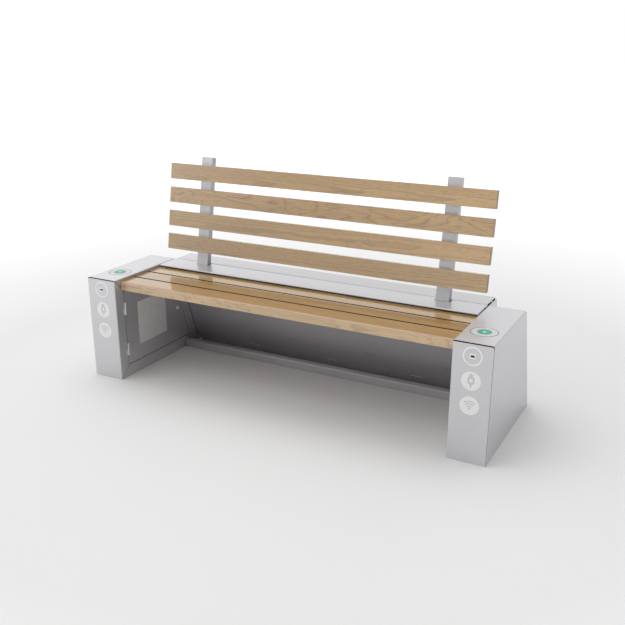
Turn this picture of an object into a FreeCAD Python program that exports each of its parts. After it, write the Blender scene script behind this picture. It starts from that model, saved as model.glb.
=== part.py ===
"""Solar charging bench: two end boxes, oak slats, a leaning rear box with a solar module.

Frame: X along the bench, +Y to the back, +Z up. The origin is on the ground, at the centre
of the bench's footprint. All lengths are in millimetres.
"""
import FreeCAD, Part
import math
import os
from types import SimpleNamespace

import Sketcher

SIZES = {
    # whole bench
    "bench_length": 1810, "pod_width": 148, "pod_height": 460, "pod_top_depth": 430.5,
    "lean_run": 163, "box_depth": 117.5, "plate": 3, "lean_plate": 3.2, "slip": 0.05,
    # end boxes
    "pod_bend": 8, "inner_bend": 5, "front_bend": 4, "seam": 1, "side_seam": 1.2, "seal_inset": 0.4,
    "seal_low": 0.3, "front_round": 6, "return_width": 53.5, "mitre_gap": 3, "opening_top": 400,
    "base_thick": 4, "base_clear": 5, "rivet_low": 83, "rivet_high": 155, "rivet_inset": 11,
    "rivet_radius": 2, "rivet_head": 3.5, "rivet_head_thick": 1, "anchor_radius": 6.5,
    "anchor_x": 90, "anchor_y": 380, "anchor_front": 90,
    # service doors
    "door_gap": 3, "window_size": 200, "window_front": 139.5, "window_low": 126, "window_play": 0.2,
    "window_flange": 7, "window_flange_thick": 2, "window_screw_y": 52, "window_screw_z": 42,
    "window_screw_head": 5, "window_screw_head_thick": 1.5, "window_screw_length": 8,
    "hinge_high": 321, "hinge_low": 129, "hinge_length": 57, "hinge_split": 0.5, "hinge_stand": 4,
    "knuckle_radius": 3.7, "pin_radius": 1.6, "pin_length": 50, "pin_play": 0.05, "tab_width": 5.5,
    "tab_offset": 1.05, "relief_radius": 3.2,
    "lock_back": 428.5, "lock_height": 215, "lock_head_radius": 8, "lock_head_thick": 2,
    "lock_radius": 6.2, "lock_play": 0.08, "lock_gap": 0.2, "lock_depth": 12, "cam_gap": 0.5,
    "cam_thick": 3, "cam_length": 50, "cam_width": 16, "key_slot": 1.6,
    # charging pads, ports and what is behind them
    "pad_back": 128, "pad_radius": 50, "pad_play": 1.2, "pad_flange": 4, "pad_flange_thick": 4,
    "coil_radius": 42, "coil_thick": 13, "port_height": 411.5, "port_wide": 13.8, "port_tall": 7,
    "port_play": 0.3, "port_proud": 0.6, "slot_wide": 12.2, "slot_tall": 4.9, "slot_deep": 12,
    "module_wide": 40, "module_tall": 26, "module_deep": 32, "module_gap": 0.2,
    # battery, controller and modem
    "battery_wide": 100, "battery_deep": 250, "battery_tall": 190, "battery_front": 120,
    "battery_round": 6, "case_thick": 32, "controller_deep": 120, "controller_tall": 180,
    "controller_front": 300, "controller_low": 170, "modem_deep": 130, "modem_tall": 150,
    "modem_front": 175, "modem_low": 150, "case_round": 4,
    # seat
    "seat_reach": 755.5, "slat_thick": 38, "seat_slat_width": 87, "seat_pitch": 96,
    "seat_front": 39, "seat_top": 447.5, "slat_round": 1.2, "nose_round": 7, "arm_thick": 6,
    "arm_width": 50, "arm_front": 55, "arm_back": 305, "outer_arm": 577, "inner_arm": 196,
    "web_thick": 6, "web_tip": 6.5, "web_front": 104,
    "foot_width": 56, "foot_low": 330, "foot_high": 440, "upstand_front": 330, "fold_play": 1.5,
    # back
    "back_reach": 754, "back_lean_deg": 9, "back_plane": 372.4, "back_level": 461.7,
    "back_slat_width": 70.4,
    "back_slat_thick": 27, "back_top": 451.2, "back_pitch": 106.5, "post_width": 56,
    "post_thick": 28, "post_wall": 4, "post_top": 487.5, "post_low": 113, "gusset_thick": 8,
    "gusset_low": 352, "gusset_high": 438,
    # shelf, lid and rear box
    "shelf_front": 311, "shelf_back": 434, "shelf_reach": 750.5, "shelf_lip": 9.5, "shelf_bend": 3,
    "notch_front": 396.5, "notch_play": 4.5, "lid_gap": 4, "fold": 14, "lid_reach": 748,
    "lid_lip": 22, "panel_reach": 751,
    "cheek_inset": 2.5, "cheek_high": 452, "tie_flange": 40, "tie_low": 0, "tie_high": 430,
    "tie_bolt_side": 20, "tie_bolt_pitch": 150,
    "tie_bolt_low": 70, "vent_length": 53, "vent_height": 5, "vent_level": 36.5, "vent_pitch": 415,
    "rib_width": 50, "rib_outer": 576, "rib_inner": 196, "rib_bolt_level": 110, "rib_bolt_side": 15,
    # solar module
    "frame_reach": 750, "frame_low": 14, "frame_high": 436, "frame_deep": 30, "frame_lip": 17,
    "frame_wall": 7, "lip_thick": 2, "laminate_thick": 5, "laminate_play": 0.5,
    "junction_wide": 110, "junction_deep": 22, "junction_tall": 70, "junction_low": 330,
    # base rail
    "rail_front": 477, "rail_height": 38.5, "rail_ledge": 30, "rail_hem": 12, "rail_reach": 753.5,
    "rail_bend": 4, "rail_bolt_side": 723, "rail_bolt_back": 556, "anchor_head": 9,
    "anchor_head_thick": 16,
    # screws and bolts
    "screw_radius": 2.9, "screw_head": 5, "screw_head_thick": 3, "screw_length": 28,
    "post_screw_radius": 3.5, "post_screw_head": 6.5, "post_screw_head_thick": 4,
    "post_screw_length": 48, "post_screw_spread": 16, "seat_screw_spread": 16, "hole_play": 0.1,
    "bolt_radius": 4, "bolt_head": 5.5, "bolt_head_thick": 2.5, "bolt_length": 14,
    # cable between the end boxes
    "cable_radius": 5, "cable_level": 18, "cable_back": 491, "cable_end": 40, "cable_play": 1,
}

doc = FreeCAD.newDocument("solar_charging_bench")
sheet = doc.addObject("Spreadsheet::Sheet", "dims")
for row, (alias, number) in enumerate(SIZES.items(), start=1):
    sheet.set(f"A{row}", alias)
    sheet.set(f"B{row}", str(number))
    sheet.setAlias(f"B{row}", alias)
doc.recompute()


class Size:
    """A length that knows its value and the sheet expression that gives it."""

    def __init__(self, value, text):
        self.value = value
        self.text = text

    def __add__(self, other):
        other = as_size(other)
        return Size(self.value + other.value, f"({self.text} + {other.text})")

    def __sub__(self, other):
        other = as_size(other)
        return Size(self.value - other.value, f"({self.text} - {other.text})")

    def __mul__(self, other):
        other = as_size(other)
        return Size(self.value * other.value, f"({self.text} * {other.text})")

    def __truediv__(self, other):
        other = as_size(other)
        return Size(self.value / other.value, f"({self.text} / {other.text})")

    def __radd__(self, other):
        return as_size(other) + self

    def __rsub__(self, other):
        return as_size(other) - self

    def __rmul__(self, other):
        return as_size(other) * self

    def __neg__(self):
        return Size(-self.value, f"(-{self.text})")


def as_size(number):
    return number if isinstance(number, Size) else Size(number, f"({number})")


d = SimpleNamespace(**{name: Size(number, f"dims.{name}") for name, number in SIZES.items()})

# Planes that the pieces share
half = d.bench_length / 2
inner = half - d.pod_width
pod_middle = half - d.pod_width / 2
front = -(d.pod_top_depth + d.box_depth + d.lean_run - d.port_proud) / 2
roof = d.pod_height - d.plate
base_depth = d.pod_top_depth + d.lean_run
seat_low = d.seat_top - d.slat_thick
arm_low = seat_low - d.arm_thick
back_angle = SIZES["back_lean_deg"]
ARMS = (-d.outer_arm, -d.inner_arm, d.inner_arm, d.outer_arm)
RIBS = (-d.rib_outer, -d.rib_inner, d.rib_inner, d.rib_outer)
LEFT, RIGHT = -1, 1
SIDES = (("left", LEFT), ("right", RIGHT))


def lean_at(level):
    """How far behind the front plane the leaning back of an end box is at a height."""
    return front + base_depth - d.lean_run * level / d.pod_height


def depth(length):
    """A place measured back from the front plane."""
    return front + length


# Sketches and features
ROLES = {"x": "YZ_Plane", "y": "XZ_Plane", "z": "XY_Plane"}
parts = []


def new_body(label):
    body = doc.addObject("PartDesign::Body", label)
    body.Label = label
    return body


def new_sketch(body, axis, at):
    """A sketch square to an axis, at a place on it. It holds (Y, Z), (X, Z) or (X, Y)."""
    sketch = body.newObject("Sketcher::SketchObject", f"{body.Name}_sketch")
    plane = [item for item in body.Origin.OriginFeatures if item.Role == ROLES[axis]][0]
    sketch.AttachmentSupport = [(plane, "")]
    sketch.MapMode = "FlatFace"
    along = -as_size(at) if axis == "y" else as_size(at)
    sketch.AttachmentOffset = FreeCAD.Placement(FreeCAD.Vector(0, 0, along.value), FreeCAD.Rotation())
    sketch.setExpression("AttachmentOffset.Base.z", along.text)
    return sketch


def pin_point(sketch, geometry, which, u, v):
    """Fix one point of a sketch at sizes from the sheet."""
    for kind, size in (("DistanceX", as_size(u)), ("DistanceY", as_size(v))):
        index = sketch.addConstraint(Sketcher.Constraint(kind, -1, 1, geometry, which, size.value))
        sketch.setExpression(f"Constraints[{index}]", size.text)


def add_outline(sketch, corners):
    """A closed outline of straight lines through its corners."""
    corners = [(as_size(u), as_size(v)) for u, v in corners]
    points = [FreeCAD.Vector(u.value, v.value, 0) for u, v in corners]
    first = sketch.GeometryCount
    count = len(points)
    for i in range(count):
        sketch.addGeometry(Part.LineSegment(points[i], points[(i + 1) % count]), False)
    for i in range(count):
        sketch.addConstraint(Sketcher.Constraint("Coincident", first + i, 2, first + (i + 1) % count, 1))
    for i, (u, v) in enumerate(corners):
        pin_point(sketch, first + i, 1, u, v)


def add_circle(sketch, u, v, radius):
    u, v, radius = as_size(u), as_size(v), as_size(radius)
    centre = FreeCAD.Vector(u.value, v.value, 0)
    circle = sketch.addGeometry(Part.Circle(centre, FreeCAD.Vector(0, 0, 1), radius.value), False)
    pin_point(sketch, circle, 3, u, v)
    index = sketch.addConstraint(Sketcher.Constraint("Radius", circle, radius.value))
    sketch.setExpression(f"Constraints[{index}]", radius.text)


def rectangle(u_low, u_high, v_low, v_high):
    return [(u_low, v_low), (u_high, v_low), (u_high, v_high), (u_low, v_high)]


def fill(sketch, outlines, circles):
    for corners in outlines:
        add_outline(sketch, corners)
    for circle in circles:
        add_circle(sketch, *circle)


def pad(body, axis, start, length, outlines=(), circles=()):
    """Add material from a place on an axis, along that axis."""
    sketch = new_sketch(body, axis, start)
    fill(sketch, outlines, circles)
    feature = body.newObject("PartDesign::Pad", f"{body.Name}_pad")
    feature.Profile = sketch
    feature.Length = as_size(length).value
    feature.setExpression("Length", as_size(length).text)
    feature.Reversed = axis == "y"
    body.Tip = feature
    doc.recompute()
    return body


def cut(body, axis, start, length, outlines=(), circles=()):
    """Take material away from a place on an axis, along that axis."""
    before = body.Shape.Volume
    sketch = new_sketch(body, axis, start)
    fill(sketch, outlines, circles)
    feature = body.newObject("PartDesign::Pocket", f"{body.Name}_pocket")
    feature.Profile = sketch
    feature.Length = as_size(length).value
    feature.setExpression("Length", as_size(length).text)
    feature.Reversed = axis != "y"
    body.Tip = feature
    doc.recompute()
    if body.Shape.Volume >= before - 1e-3:
        raise RuntimeError(f"{body.Label}: a pocket cut nothing")
    return body


def round_edges(body, radius, wanted):
    """Fillet the edges whose two ends pass a test."""
    base = body.Tip
    names = []
    for i, edge in enumerate(base.Shape.Edges, start=1):
        ends = [vertex.Point for vertex in edge.Vertexes]
        if len(ends) == 2 and wanted(*ends):
            names.append(f"Edge{i}")
    if not names:
        raise RuntimeError(f"{body.Label}: no edge to round")
    feature = body.newObject("PartDesign::Fillet", f"{body.Name}_fillet")
    feature.Base = (base, names)
    feature.Radius = as_size(radius).value
    feature.setExpression("Radius", as_size(radius).text)
    body.Tip = feature
    doc.recompute()
    return body


def along(axis, length=10.0):
    """A test for edges longer than a length that run along an axis."""
    index = "xyz".index(axis)

    def test(a, b):
        run = b - a
        others = [abs(run[i]) for i in range(3) if i != index]
        return abs(run[index]) > length and max(others) < 1e-3

    return test


def near(value, place):
    return abs(value - as_size(place).value) < 1e-3


def block(label, x, y, z):
    """A body between two X places, two Y places and two Z places."""
    body = new_body(label)
    return pad(body, "z", z[0], z[1] - z[0], [rectangle(x[0], x[1], y[0], y[1])])


def leaning_plate(body, x_low, x_high, ahead, behind, low, high):
    """A plate parallel to the leaning back, between two distances behind that plane."""
    corners = [
        (lean_at(low) + ahead, low), (lean_at(low) + behind, low),
        (lean_at(high) + behind, high), (lean_at(high) + ahead, high),
    ]
    return pad(body, "x", x_low, x_high - x_low, [corners])


def cylinder(name, radius, height, at, turn=None):
    """A round bar from a point, along Z or turned from Z by a rotation."""
    bar = doc.addObject("Part::Cylinder", name)
    radius, height = as_size(radius), as_size(height)
    bar.setExpression("Radius", radius.text)
    bar.setExpression("Height", height.text)
    place(bar, at, turn)
    return bar


def place(item, at, turn=None):
    """Put an object at a point given by sizes, with a rotation."""
    at = [as_size(value) for value in at]
    point = FreeCAD.Vector(*[value.value for value in at])
    item.Placement = FreeCAD.Placement(point, turn or FreeCAD.Rotation())
    for letter, value in zip("xyz", at):
        item.setExpression(f"Placement.Base.{letter}", value.text)


def fuse(name, pieces):
    joined = doc.addObject("Part::MultiFuse", name)
    joined.Shapes = pieces
    joined.Label = name
    doc.recompute()
    return joined


def group(name, pieces):
    """Several separate solids in one node."""
    together = doc.addObject("Part::Compound", name)
    together.Links = pieces
    together.Label = name
    doc.recompute()
    parts.append(together)
    return together


def keep(item):
    parts.append(item)
    return item


def span(side, near_x, far_x):
    """Two X places in rising order, from distances out from the middle."""
    near_x, far_x = as_size(near_x), as_size(far_x)
    return (near_x, far_x) if side == RIGHT else (-far_x, -near_x)


TO_BACK = FreeCAD.Rotation(FreeCAD.Vector(1, 0, 0), -90)
TO_FRONT = FreeCAD.Rotation(FreeCAD.Vector(1, 0, 0), 90)
TO_RIGHT = FreeCAD.Rotation(FreeCAD.Vector(0, 1, 0), 90)
TO_LEFT = FreeCAD.Rotation(FreeCAD.Vector(0, 1, 0), -90)
box_angle = math.degrees(math.atan2(SIZES["lean_run"], SIZES["pod_height"]))
INTO_BOX = FreeCAD.Rotation(FreeCAD.Vector(1, 0, 0), -90 + box_angle)
OUT_OF_BOX = FreeCAD.Rotation(FreeCAD.Vector(1, 0, 0), 90 + box_angle)
BACKREST = FreeCAD.Rotation(FreeCAD.Vector(1, 0, 0), -back_angle)


def screw(name, at, turn, head, head_thick, shank, length):
    """A head behind a point and a shank ahead of it, along a direction."""
    direction = turn.multVec(FreeCAD.Vector(0, 0, 1))
    behind = [as_size(value) - direction[i] * head_thick for i, value in enumerate(at)]
    pieces = [
        cylinder(f"{name}_head", head, head_thick, behind, turn),
        cylinder(f"{name}_shank", shank, length, at, turn),
    ]
    return fuse(name, pieces)


def drilled(name, blank, places, seat):
    """Bolt holes square to the leaning plane, through points a distance behind it."""
    way = INTO_BOX.multVec(FreeCAD.Vector(0, 0, 1))
    reach = d.bolt_length
    tools = []
    for number, (x, level) in enumerate(places):
        at = (x, lean_at(level) + seat - reach * way.y, level - reach * way.z)
        tools.append(cylinder(f"{name}_drill_{number}", d.bolt_radius + d.hole_play, reach * 2, at,
                              INTO_BOX))
    drills = doc.addObject("Part::Compound", f"{name}_drills")
    drills.Links = tools
    result = doc.addObject("Part::Cut", name)
    result.Base = blank
    result.Tool = drills
    result.Label = name
    doc.recompute()
    if result.Shape.Volume >= blank.Shape.Volume - 1e-3:
        raise RuntimeError(f"{name}: the drills cut nothing")
    return result


def rib_bolt_places():
    return [(x + d.rib_bolt_side * across, d.rib_bolt_level) for x in RIBS for across in (-1, 1)]


def tie_bolt_places(side):
    x = (inner - d.cheek_inset + d.tie_bolt_side) * side
    return [(x, d.tie_bolt_low + d.tie_bolt_pitch * number) for number in range(3)]


# End boxes
def pod_wrap(name, side):
    """Outer side, top and the frame round the service opening, folded from one sheet."""
    outer, face, t = half * side, inner * side, d.plate * side
    body = new_body(f"pod_wrap_{name}")
    corners = [
        (outer, 0), (outer, d.pod_height), (face, d.pod_height), (face, 0), (face + t, 0),
        (face + t, roof), (outer - t, roof), (outer - t, 0),
    ]
    start = depth(d.plate + d.slip)
    pad(body, "y", start, front + base_depth - start, [corners])
    low_back, high_back = lean_at(0), lean_at(d.pod_height)
    margin = d.pod_bend
    behind = [(low_back, 0), (high_back, d.pod_height), (low_back + margin, d.pod_height),
              (low_back + margin, 0)]
    x_low, x_high = span(side, inner, half)
    cut(body, "x", x_low, x_high - x_low, [behind])
    gap, width = d.mitre_gap, d.return_width
    high = d.opening_top
    opening = [
        (front, 0), (depth(d.plate + gap), 0), (depth(width + gap), width),
        (lean_at(width) - width, width), (lean_at(high) - width, high), (depth(width + gap), high),
        (depth(d.plate + gap), roof), (front, roof),
    ]
    x_low, x_high = span(side, inner, inner + d.plate)
    cable_hole = (depth(d.cable_back), d.cable_level, d.cable_radius + d.cable_play)
    rivets = [(y, z, d.rivet_radius + d.slip) for y, z in rivet_places()]
    cut(body, "x", x_low, x_high - x_low, [opening], [cable_hole, *rivets])
    pad_hole = (pod_middle * side, depth(d.pad_back), d.pad_radius)
    cut(body, "z", roof - d.plate, d.plate * 3, circles=[pad_hole])
    top = d.pod_height.value
    for x, bend in ((outer, d.pod_bend), (face, d.inner_bend)):
        round_edges(body, bend, lambda a, b: along("y")(a, b) and near(a.x, x) and near(a.z, top))
    for x, bend in ((outer - t, d.pod_bend), (face + t, d.inner_bend)):
        round_edges(body, bend - d.plate + 1,
                    lambda a, b: along("y")(a, b) and near(a.x, x) and near(a.z, roof))
    return keep(body)


def pod_front(name, side):
    """Front sheet with its return on the inner side, mitred at both ends."""
    body = new_body(f"pod_front_{name}")
    outer_edge = (half - d.side_seam) * side
    bend = inner * side
    inside = bend + d.plate * side
    reliefs = [(y, z, d.relief_radius) for y, z in relief_places()]
    corners = [
        (outer_edge, front), (bend, front), (bend, depth(d.return_width)),
        (inside, depth(d.return_width)), (inside, depth(d.plate)), (outer_edge, depth(d.plate)),
    ]
    high = roof - d.seam
    pad(body, "z", 0, high, [corners])
    x_low, x_high = span(side, inner, inner + d.plate)
    low_mitre = [(depth(d.plate), 0), (depth(d.return_width), 0),
                 (depth(d.return_width), d.return_width)]
    high_mitre = [(depth(d.plate), high), (depth(d.return_width), high),
                  (depth(d.return_width), d.opening_top)]
    cut(body, "x", x_low, x_high - x_low, [low_mitre, high_mitre])
    cut(body, "x", x_low, x_high - x_low, circles=reliefs)
    port = rectangle(pod_middle * side - d.port_wide / 2 - d.port_play,
                     pod_middle * side + d.port_wide / 2 + d.port_play,
                     d.port_height - d.port_tall / 2 - d.port_play,
                     d.port_height + d.port_tall / 2 + d.port_play)
    cut(body, "y", front - d.plate, d.plate * 3, [port])
    round_edges(body, d.front_bend, lambda a, b: along("z")(a, b) and near(a.x, bend)
                and near(a.y, front))
    return keep(round_edges(body, d.front_round, lambda a, b: along("y", 1)(a, b)
                            and near(a.x, outer_edge) and near(a.z, high)))


def rivet_places():
    """Rivets that show on the slanted strip of the frame, just ahead of its back edge."""
    return [(lean_at(level) - d.rivet_inset, level) for level in (d.rivet_low, d.rivet_high)]


def pod_rivets():
    pieces = []
    for name, side in SIDES:
        turn = TO_RIGHT if side == RIGHT else TO_LEFT
        for number, (y, z) in enumerate(rivet_places()):
            pieces.append(screw(f"rivet_{name}_{number}", (inner * side, y, z), turn, d.rivet_head,
                                d.rivet_head_thick, d.rivet_radius, d.plate * 2 + 2))
    group("pod_rivets", pieces)


def pod_back(name, side):
    """Leaning back, with a flange that is riveted to the frame."""
    x_low, x_high = span(side, inner + d.plate, half - d.plate)
    blank = leaning_plate(new_body(f"pod_back_blank_{name}"), x_low, x_high, -d.lean_plate, as_size(0),
                          as_size(0), roof - d.pod_bend)
    x_low, x_high = span(side, inner + d.plate + d.slip, inner + d.plate * 2)
    leaning_plate(blank, x_low, x_high, -d.rivet_inset * 2, -d.lean_plate, d.return_width, d.tie_high)
    rivets = [(y, z, d.rivet_radius + d.slip) for y, z in rivet_places()]
    cut(blank, "x", x_low, x_high - x_low, circles=rivets)
    return keep(drilled(f"pod_back_{name}", blank, tie_bolt_places(side), d.lean_plate))


def pod_base(name, side):
    """Floor plate of an end box, with four anchor holes."""
    x_low, x_high = span(side, inner + d.plate, half - d.plate)
    body = block(f"pod_base_{name}", (x_low, x_high),
                 (depth(d.plate), lean_at(0) - d.base_clear), (as_size(0), d.base_thick))
    holes = [
        (pod_middle * side + d.anchor_x / 2 * across, depth(d.anchor_front) + d.anchor_y * back,
         d.anchor_radius)
        for across in (-1, 1) for back in (0, 1)
    ]
    return keep(cut(body, "z", -d.base_thick, d.base_thick * 3, circles=holes))


def pod_seal(name, side):
    """Rubber seal round the front sheet, in front of the edges of the side and the top."""
    body = new_body(f"pod_seal_{name}")
    outer_edge, bend = (half - d.seal_low) * side, (inner + d.seal_low) * side
    side_edge = (half - d.side_seam + d.slip) * side
    high, low = d.pod_height - d.seal_low, roof - d.seam + d.slip
    corners = [(outer_edge, 0), (outer_edge, high), (bend, high), (bend, low), (side_edge, low),
               (side_edge, 0)]
    pad(body, "y", depth(d.seal_inset), d.plate - d.seal_inset, [corners])
    for x, z, radius in ((outer_edge, high, d.pod_bend), (side_edge, low, d.front_round + d.slip),
                         (bend, high, d.seam * 3)):
        round_edges(body, radius, lambda a, b: along("y", 1)(a, b) and near(a.x, x) and near(a.z, z))
    return keep(body)


# Service doors
def door_outline():
    gap, width = d.door_gap, d.return_width
    low, high = width + gap, d.opening_top - gap
    return [
        (depth(width + gap), low), (lean_at(low) - width - gap, low),
        (lean_at(high) - width - gap, high), (depth(width + gap), high),
    ]


def service_door(name, side):
    """Flush door leaf with a square window and a hole for the lock."""
    x_low, x_high = span(side, inner, inner + d.plate)
    body = new_body(f"service_door_{name}")
    play = d.window_play
    window = rectangle(depth(d.window_front) - play, depth(d.window_front) + d.window_size + play,
                       d.window_low - play, d.window_low + d.window_size + play)
    pad(body, "x", x_low, x_high - x_low, [door_outline(), window],
        [(depth(d.lock_back), d.lock_height, d.lock_radius + d.lock_play)])
    reliefs = [(y, z, d.relief_radius) for y, z in relief_places()]
    return keep(cut(body, "x", x_low, x_high - x_low, circles=reliefs))


def door_window(name, side):
    """Radio-clear plate that fills the door's window, with a flange behind the leaf."""
    body = new_body(f"door_window_{name}")
    y_low, z_low = depth(d.window_front), d.window_low
    size, rim = d.window_size, d.window_flange
    x_low, x_high = span(side, inner, inner + d.plate)
    pad(body, "x", x_low, x_high - x_low, [rectangle(y_low, y_low + size, z_low, z_low + size)])
    x_low, x_high = span(side, inner + d.plate, inner + d.plate + d.window_flange_thick)
    pad(body, "x", x_low, x_high - x_low,
        [rectangle(y_low - rim, y_low + size + rim, z_low - rim, z_low + size + rim)])
    x_low, x_high = span(side, inner - d.plate, inner + d.plate * 2)
    holes = [(y, z, d.screw_radius + d.hole_play) for y, z in window_screw_places()]
    return keep(cut(body, "x", x_low, x_high - x_low, circles=holes))


def window_screw_places():
    y = depth(d.window_front) + d.window_size / 2
    z = d.window_low + d.window_size / 2
    return [(y + d.window_screw_y * across, z + d.window_screw_z * up)
            for across in (-1, 1) for up in (-1, 1)]


def window_screws(name, side):
    """Four screws that hold the modem's bracket behind the window."""
    turn = TO_RIGHT if side == RIGHT else TO_LEFT
    pieces = [
        screw(f"window_screw_{name}_{number}", (inner * side, y, z), turn, d.window_screw_head,
              d.window_screw_head_thick, d.screw_radius, d.window_screw_length)
        for number, (y, z) in enumerate(window_screw_places())
    ]
    group(f"window_screws_{name}", pieces)


def relief_places():
    """Round reliefs in the gap beside the ends of each hinge."""
    y = depth(d.return_width + d.door_gap / 2)
    reach = d.hinge_length / 2 + d.relief_radius
    return [(y, level + reach * end) for level in (d.hinge_low, d.hinge_high) for end in (-1, 1)]


def hinge_axis(side):
    return (inner - d.hinge_stand) * side, depth(d.return_width + d.door_gap / 2)


def knuckle(name, side, low, tab_side):
    """Half of a lift-off hinge: a barrel with a tab that is welded to the sheet."""
    x, y = hinge_axis(side)
    length = (d.hinge_length - d.hinge_split) / 2
    body = new_body(name)
    pad(body, "z", low, length, circles=[(x, y, d.knuckle_radius)])
    x_low, x_high = span(side, inner - d.hinge_stand, inner)
    tab_near = y + d.tab_offset * tab_side
    tab_far = y + (d.tab_offset + d.tab_width) * tab_side
    y_low, y_high = (tab_near, tab_far) if tab_side > 0 else (tab_far, tab_near)
    return pad(body, "z", low, length, [rectangle(x_low, x_high, y_low, y_high)])


def hinges():
    """Fixed halves with their pins, and the moving halves that lift off them."""
    fixed = []
    for name, side in SIDES:
        moving = []
        for number, level in enumerate((d.hinge_low, d.hinge_high), start=1):
            low = level - d.hinge_length / 2
            middle = level + d.hinge_split / 2
            socket = knuckle(f"fixed_half_{name}_{number}", side, low, -1)
            x, y = hinge_axis(side)
            pin = cylinder(f"pin_{name}_{number}", d.pin_radius, d.pin_length,
                           (x, y, level - d.pin_length / 2))
            fixed.append(fuse(f"fixed_hinge_{name}_{number}", [socket, pin]))
            leaf = knuckle(f"door_half_{name}_{number}", side, middle, 1)
            bore = d.pin_radius + d.pin_play
            moving.append(cut(leaf, "z", middle - 1, d.hinge_length, circles=[(x, y, bore)]))
        group(f"door_hinges_{name}", moving)
    group("frame_hinges", fixed)


def lock_plug(name, side):
    """Quarter-turn plug through the door, with a key slot in its head."""
    body = new_body(f"lock_plug_{name}")
    y, z = depth(d.lock_back), d.lock_height
    face = inner - d.lock_gap
    x_low, x_high = span(side, face - d.lock_head_thick, face)
    pad(body, "x", x_low, x_high - x_low, circles=[(y, z, d.lock_head_radius)])
    x_low, x_high = span(side, face, face + d.lock_depth)
    pad(body, "x", x_low, x_high - x_low, circles=[(y, z, d.lock_radius)])
    x_low, x_high = span(side, face - d.lock_head_thick, face - d.lock_head_thick / 2)
    half_slot, reach = d.key_slot / 2, d.lock_head_radius / 2
    slot = rectangle(y - half_slot, y + half_slot, z - reach, z + reach)
    cut(body, "x", x_low, x_high - x_low, [slot])
    return keep(body)


def lock_cam(name, side):
    """Cam on the plug, which turns behind the return frame."""
    body = new_body(f"lock_cam_{name}")
    y, z = depth(d.lock_back), d.lock_height
    back = inner + d.plate + d.cam_gap
    x_low, x_high = span(side, back, back + d.cam_thick)
    wide = d.cam_width / 2
    pad(body, "x", x_low, x_high - x_low, [rectangle(y - wide, y + wide, z - d.cam_length, z + wide)],
        [(y, z, d.lock_radius + d.slip)])
    return keep(round_edges(body, d.cam_width / 4, lambda a, b: along("x", 1)(a, b)
                            and abs(a.y - y.value) > wide.value - 1))


# Charging pads, ports and what the end boxes hold
def charging_pad(name, side):
    """Round pad let into the top, on a flange under the sheet."""
    body = new_body(f"charging_pad_{name}")
    at = (pod_middle * side, depth(d.pad_back))
    pad(body, "z", roof, d.plate, circles=[(*at, d.pad_radius - d.pad_play)])
    pad(body, "z", roof - d.pad_flange_thick, d.pad_flange_thick,
        circles=[(*at, d.pad_radius + d.pad_flange)])
    return keep(body)


def charging_coil(name, side):
    body = new_body(f"charging_coil_{name}")
    high = roof - d.pad_flange_thick
    pad(body, "z", high - d.coil_thick, d.coil_thick,
        circles=[(pod_middle * side, depth(d.pad_back), d.coil_radius)])
    return keep(body)


def usb_module(name, side):
    """Circuit block behind the front sheet, with a socket that comes through it."""
    body = new_body(f"usb_module_{name}")
    x, z = pod_middle * side, d.port_height
    back = depth(d.plate + d.module_gap)

    def face(wide, tall):
        return rectangle(x - wide / 2, x + wide / 2, z - tall / 2, z + tall / 2)

    pad(body, "y", back, d.module_deep, [face(d.module_wide, d.module_tall)])
    tip = front - d.port_proud
    pad(body, "y", tip, back - tip, [face(d.port_wide, d.port_tall)])
    cut(body, "y", tip, d.slot_deep, [face(d.slot_wide, d.slot_tall)])
    return keep(body)


def case(label, x, front_y, low, deep, tall, rounding):
    """A closed box with rounded upright edges."""
    body = block(label, x, (depth(front_y), depth(front_y + deep)), (low, low + tall))
    return keep(round_edges(body, rounding, along("z")))


def pod_contents():
    wide = d.battery_wide / 2
    battery_x = (pod_middle * LEFT - wide, pod_middle * LEFT + wide)
    case("battery_pack", battery_x, d.battery_front, d.base_thick, d.battery_deep, d.battery_tall,
         d.battery_round)
    wall = half - d.plate
    left_wall, right_wall = span(LEFT, wall - d.case_thick, wall), span(RIGHT, wall - d.case_thick, wall)
    case("charge_controller", left_wall, d.controller_front, d.battery_tall + d.pod_bend,
         d.controller_deep, d.controller_tall, d.case_round)
    case("modem", right_wall, d.modem_front, d.modem_low, d.modem_deep, d.modem_tall, d.case_round)


# Seat
def pilot_holes(body, y):
    """Screw holes from below where the slat lies on the arms."""
    holes = [(x, y + d.seat_screw_spread * across, d.screw_radius + d.hole_play)
             for x in ARMS for across in (-1, 1)]
    return cut(body, "z", seat_low, d.screw_length - d.arm_thick + 1, circles=holes)


def seat_slats():
    for number in range(3):
        y_low = depth(d.seat_front + d.seat_pitch * number)
        body = block(f"seat_slat_{number + 1}", (-d.seat_reach, d.seat_reach),
                     (y_low, y_low + d.seat_slat_width), (seat_low, d.seat_top))
        if number == 0:
            nose = y_low.value
            round_edges(body, d.nose_round, lambda a, b: along("x")(a, b) and near(a.y, nose)
                        and near(a.z, d.seat_top))
            round_edges(body, d.slat_round, lambda a, b: along("x")(a, b)
                        and (near(a.y, nose + d.seat_slat_width.value) or near(a.z, seat_low)))
        else:
            round_edges(body, d.slat_round, along("x"))
        keep(pilot_holes(body, y_low + d.seat_slat_width / 2))


def seat_screws():
    pieces = []
    for number in range(3):
        middle = depth(d.seat_front + d.seat_pitch * number) + d.seat_slat_width / 2
        for arm, x in enumerate(ARMS):
            for across in (-1, 1):
                at = (x, middle + d.seat_screw_spread * across, arm_low)
                pieces.append(screw(f"seat_screw_{number}_{arm}_{across + 1}", at, FreeCAD.Rotation(),
                                    d.screw_head, d.screw_head_thick, d.screw_radius, d.screw_length))
    group("seat_screws", pieces)


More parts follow.
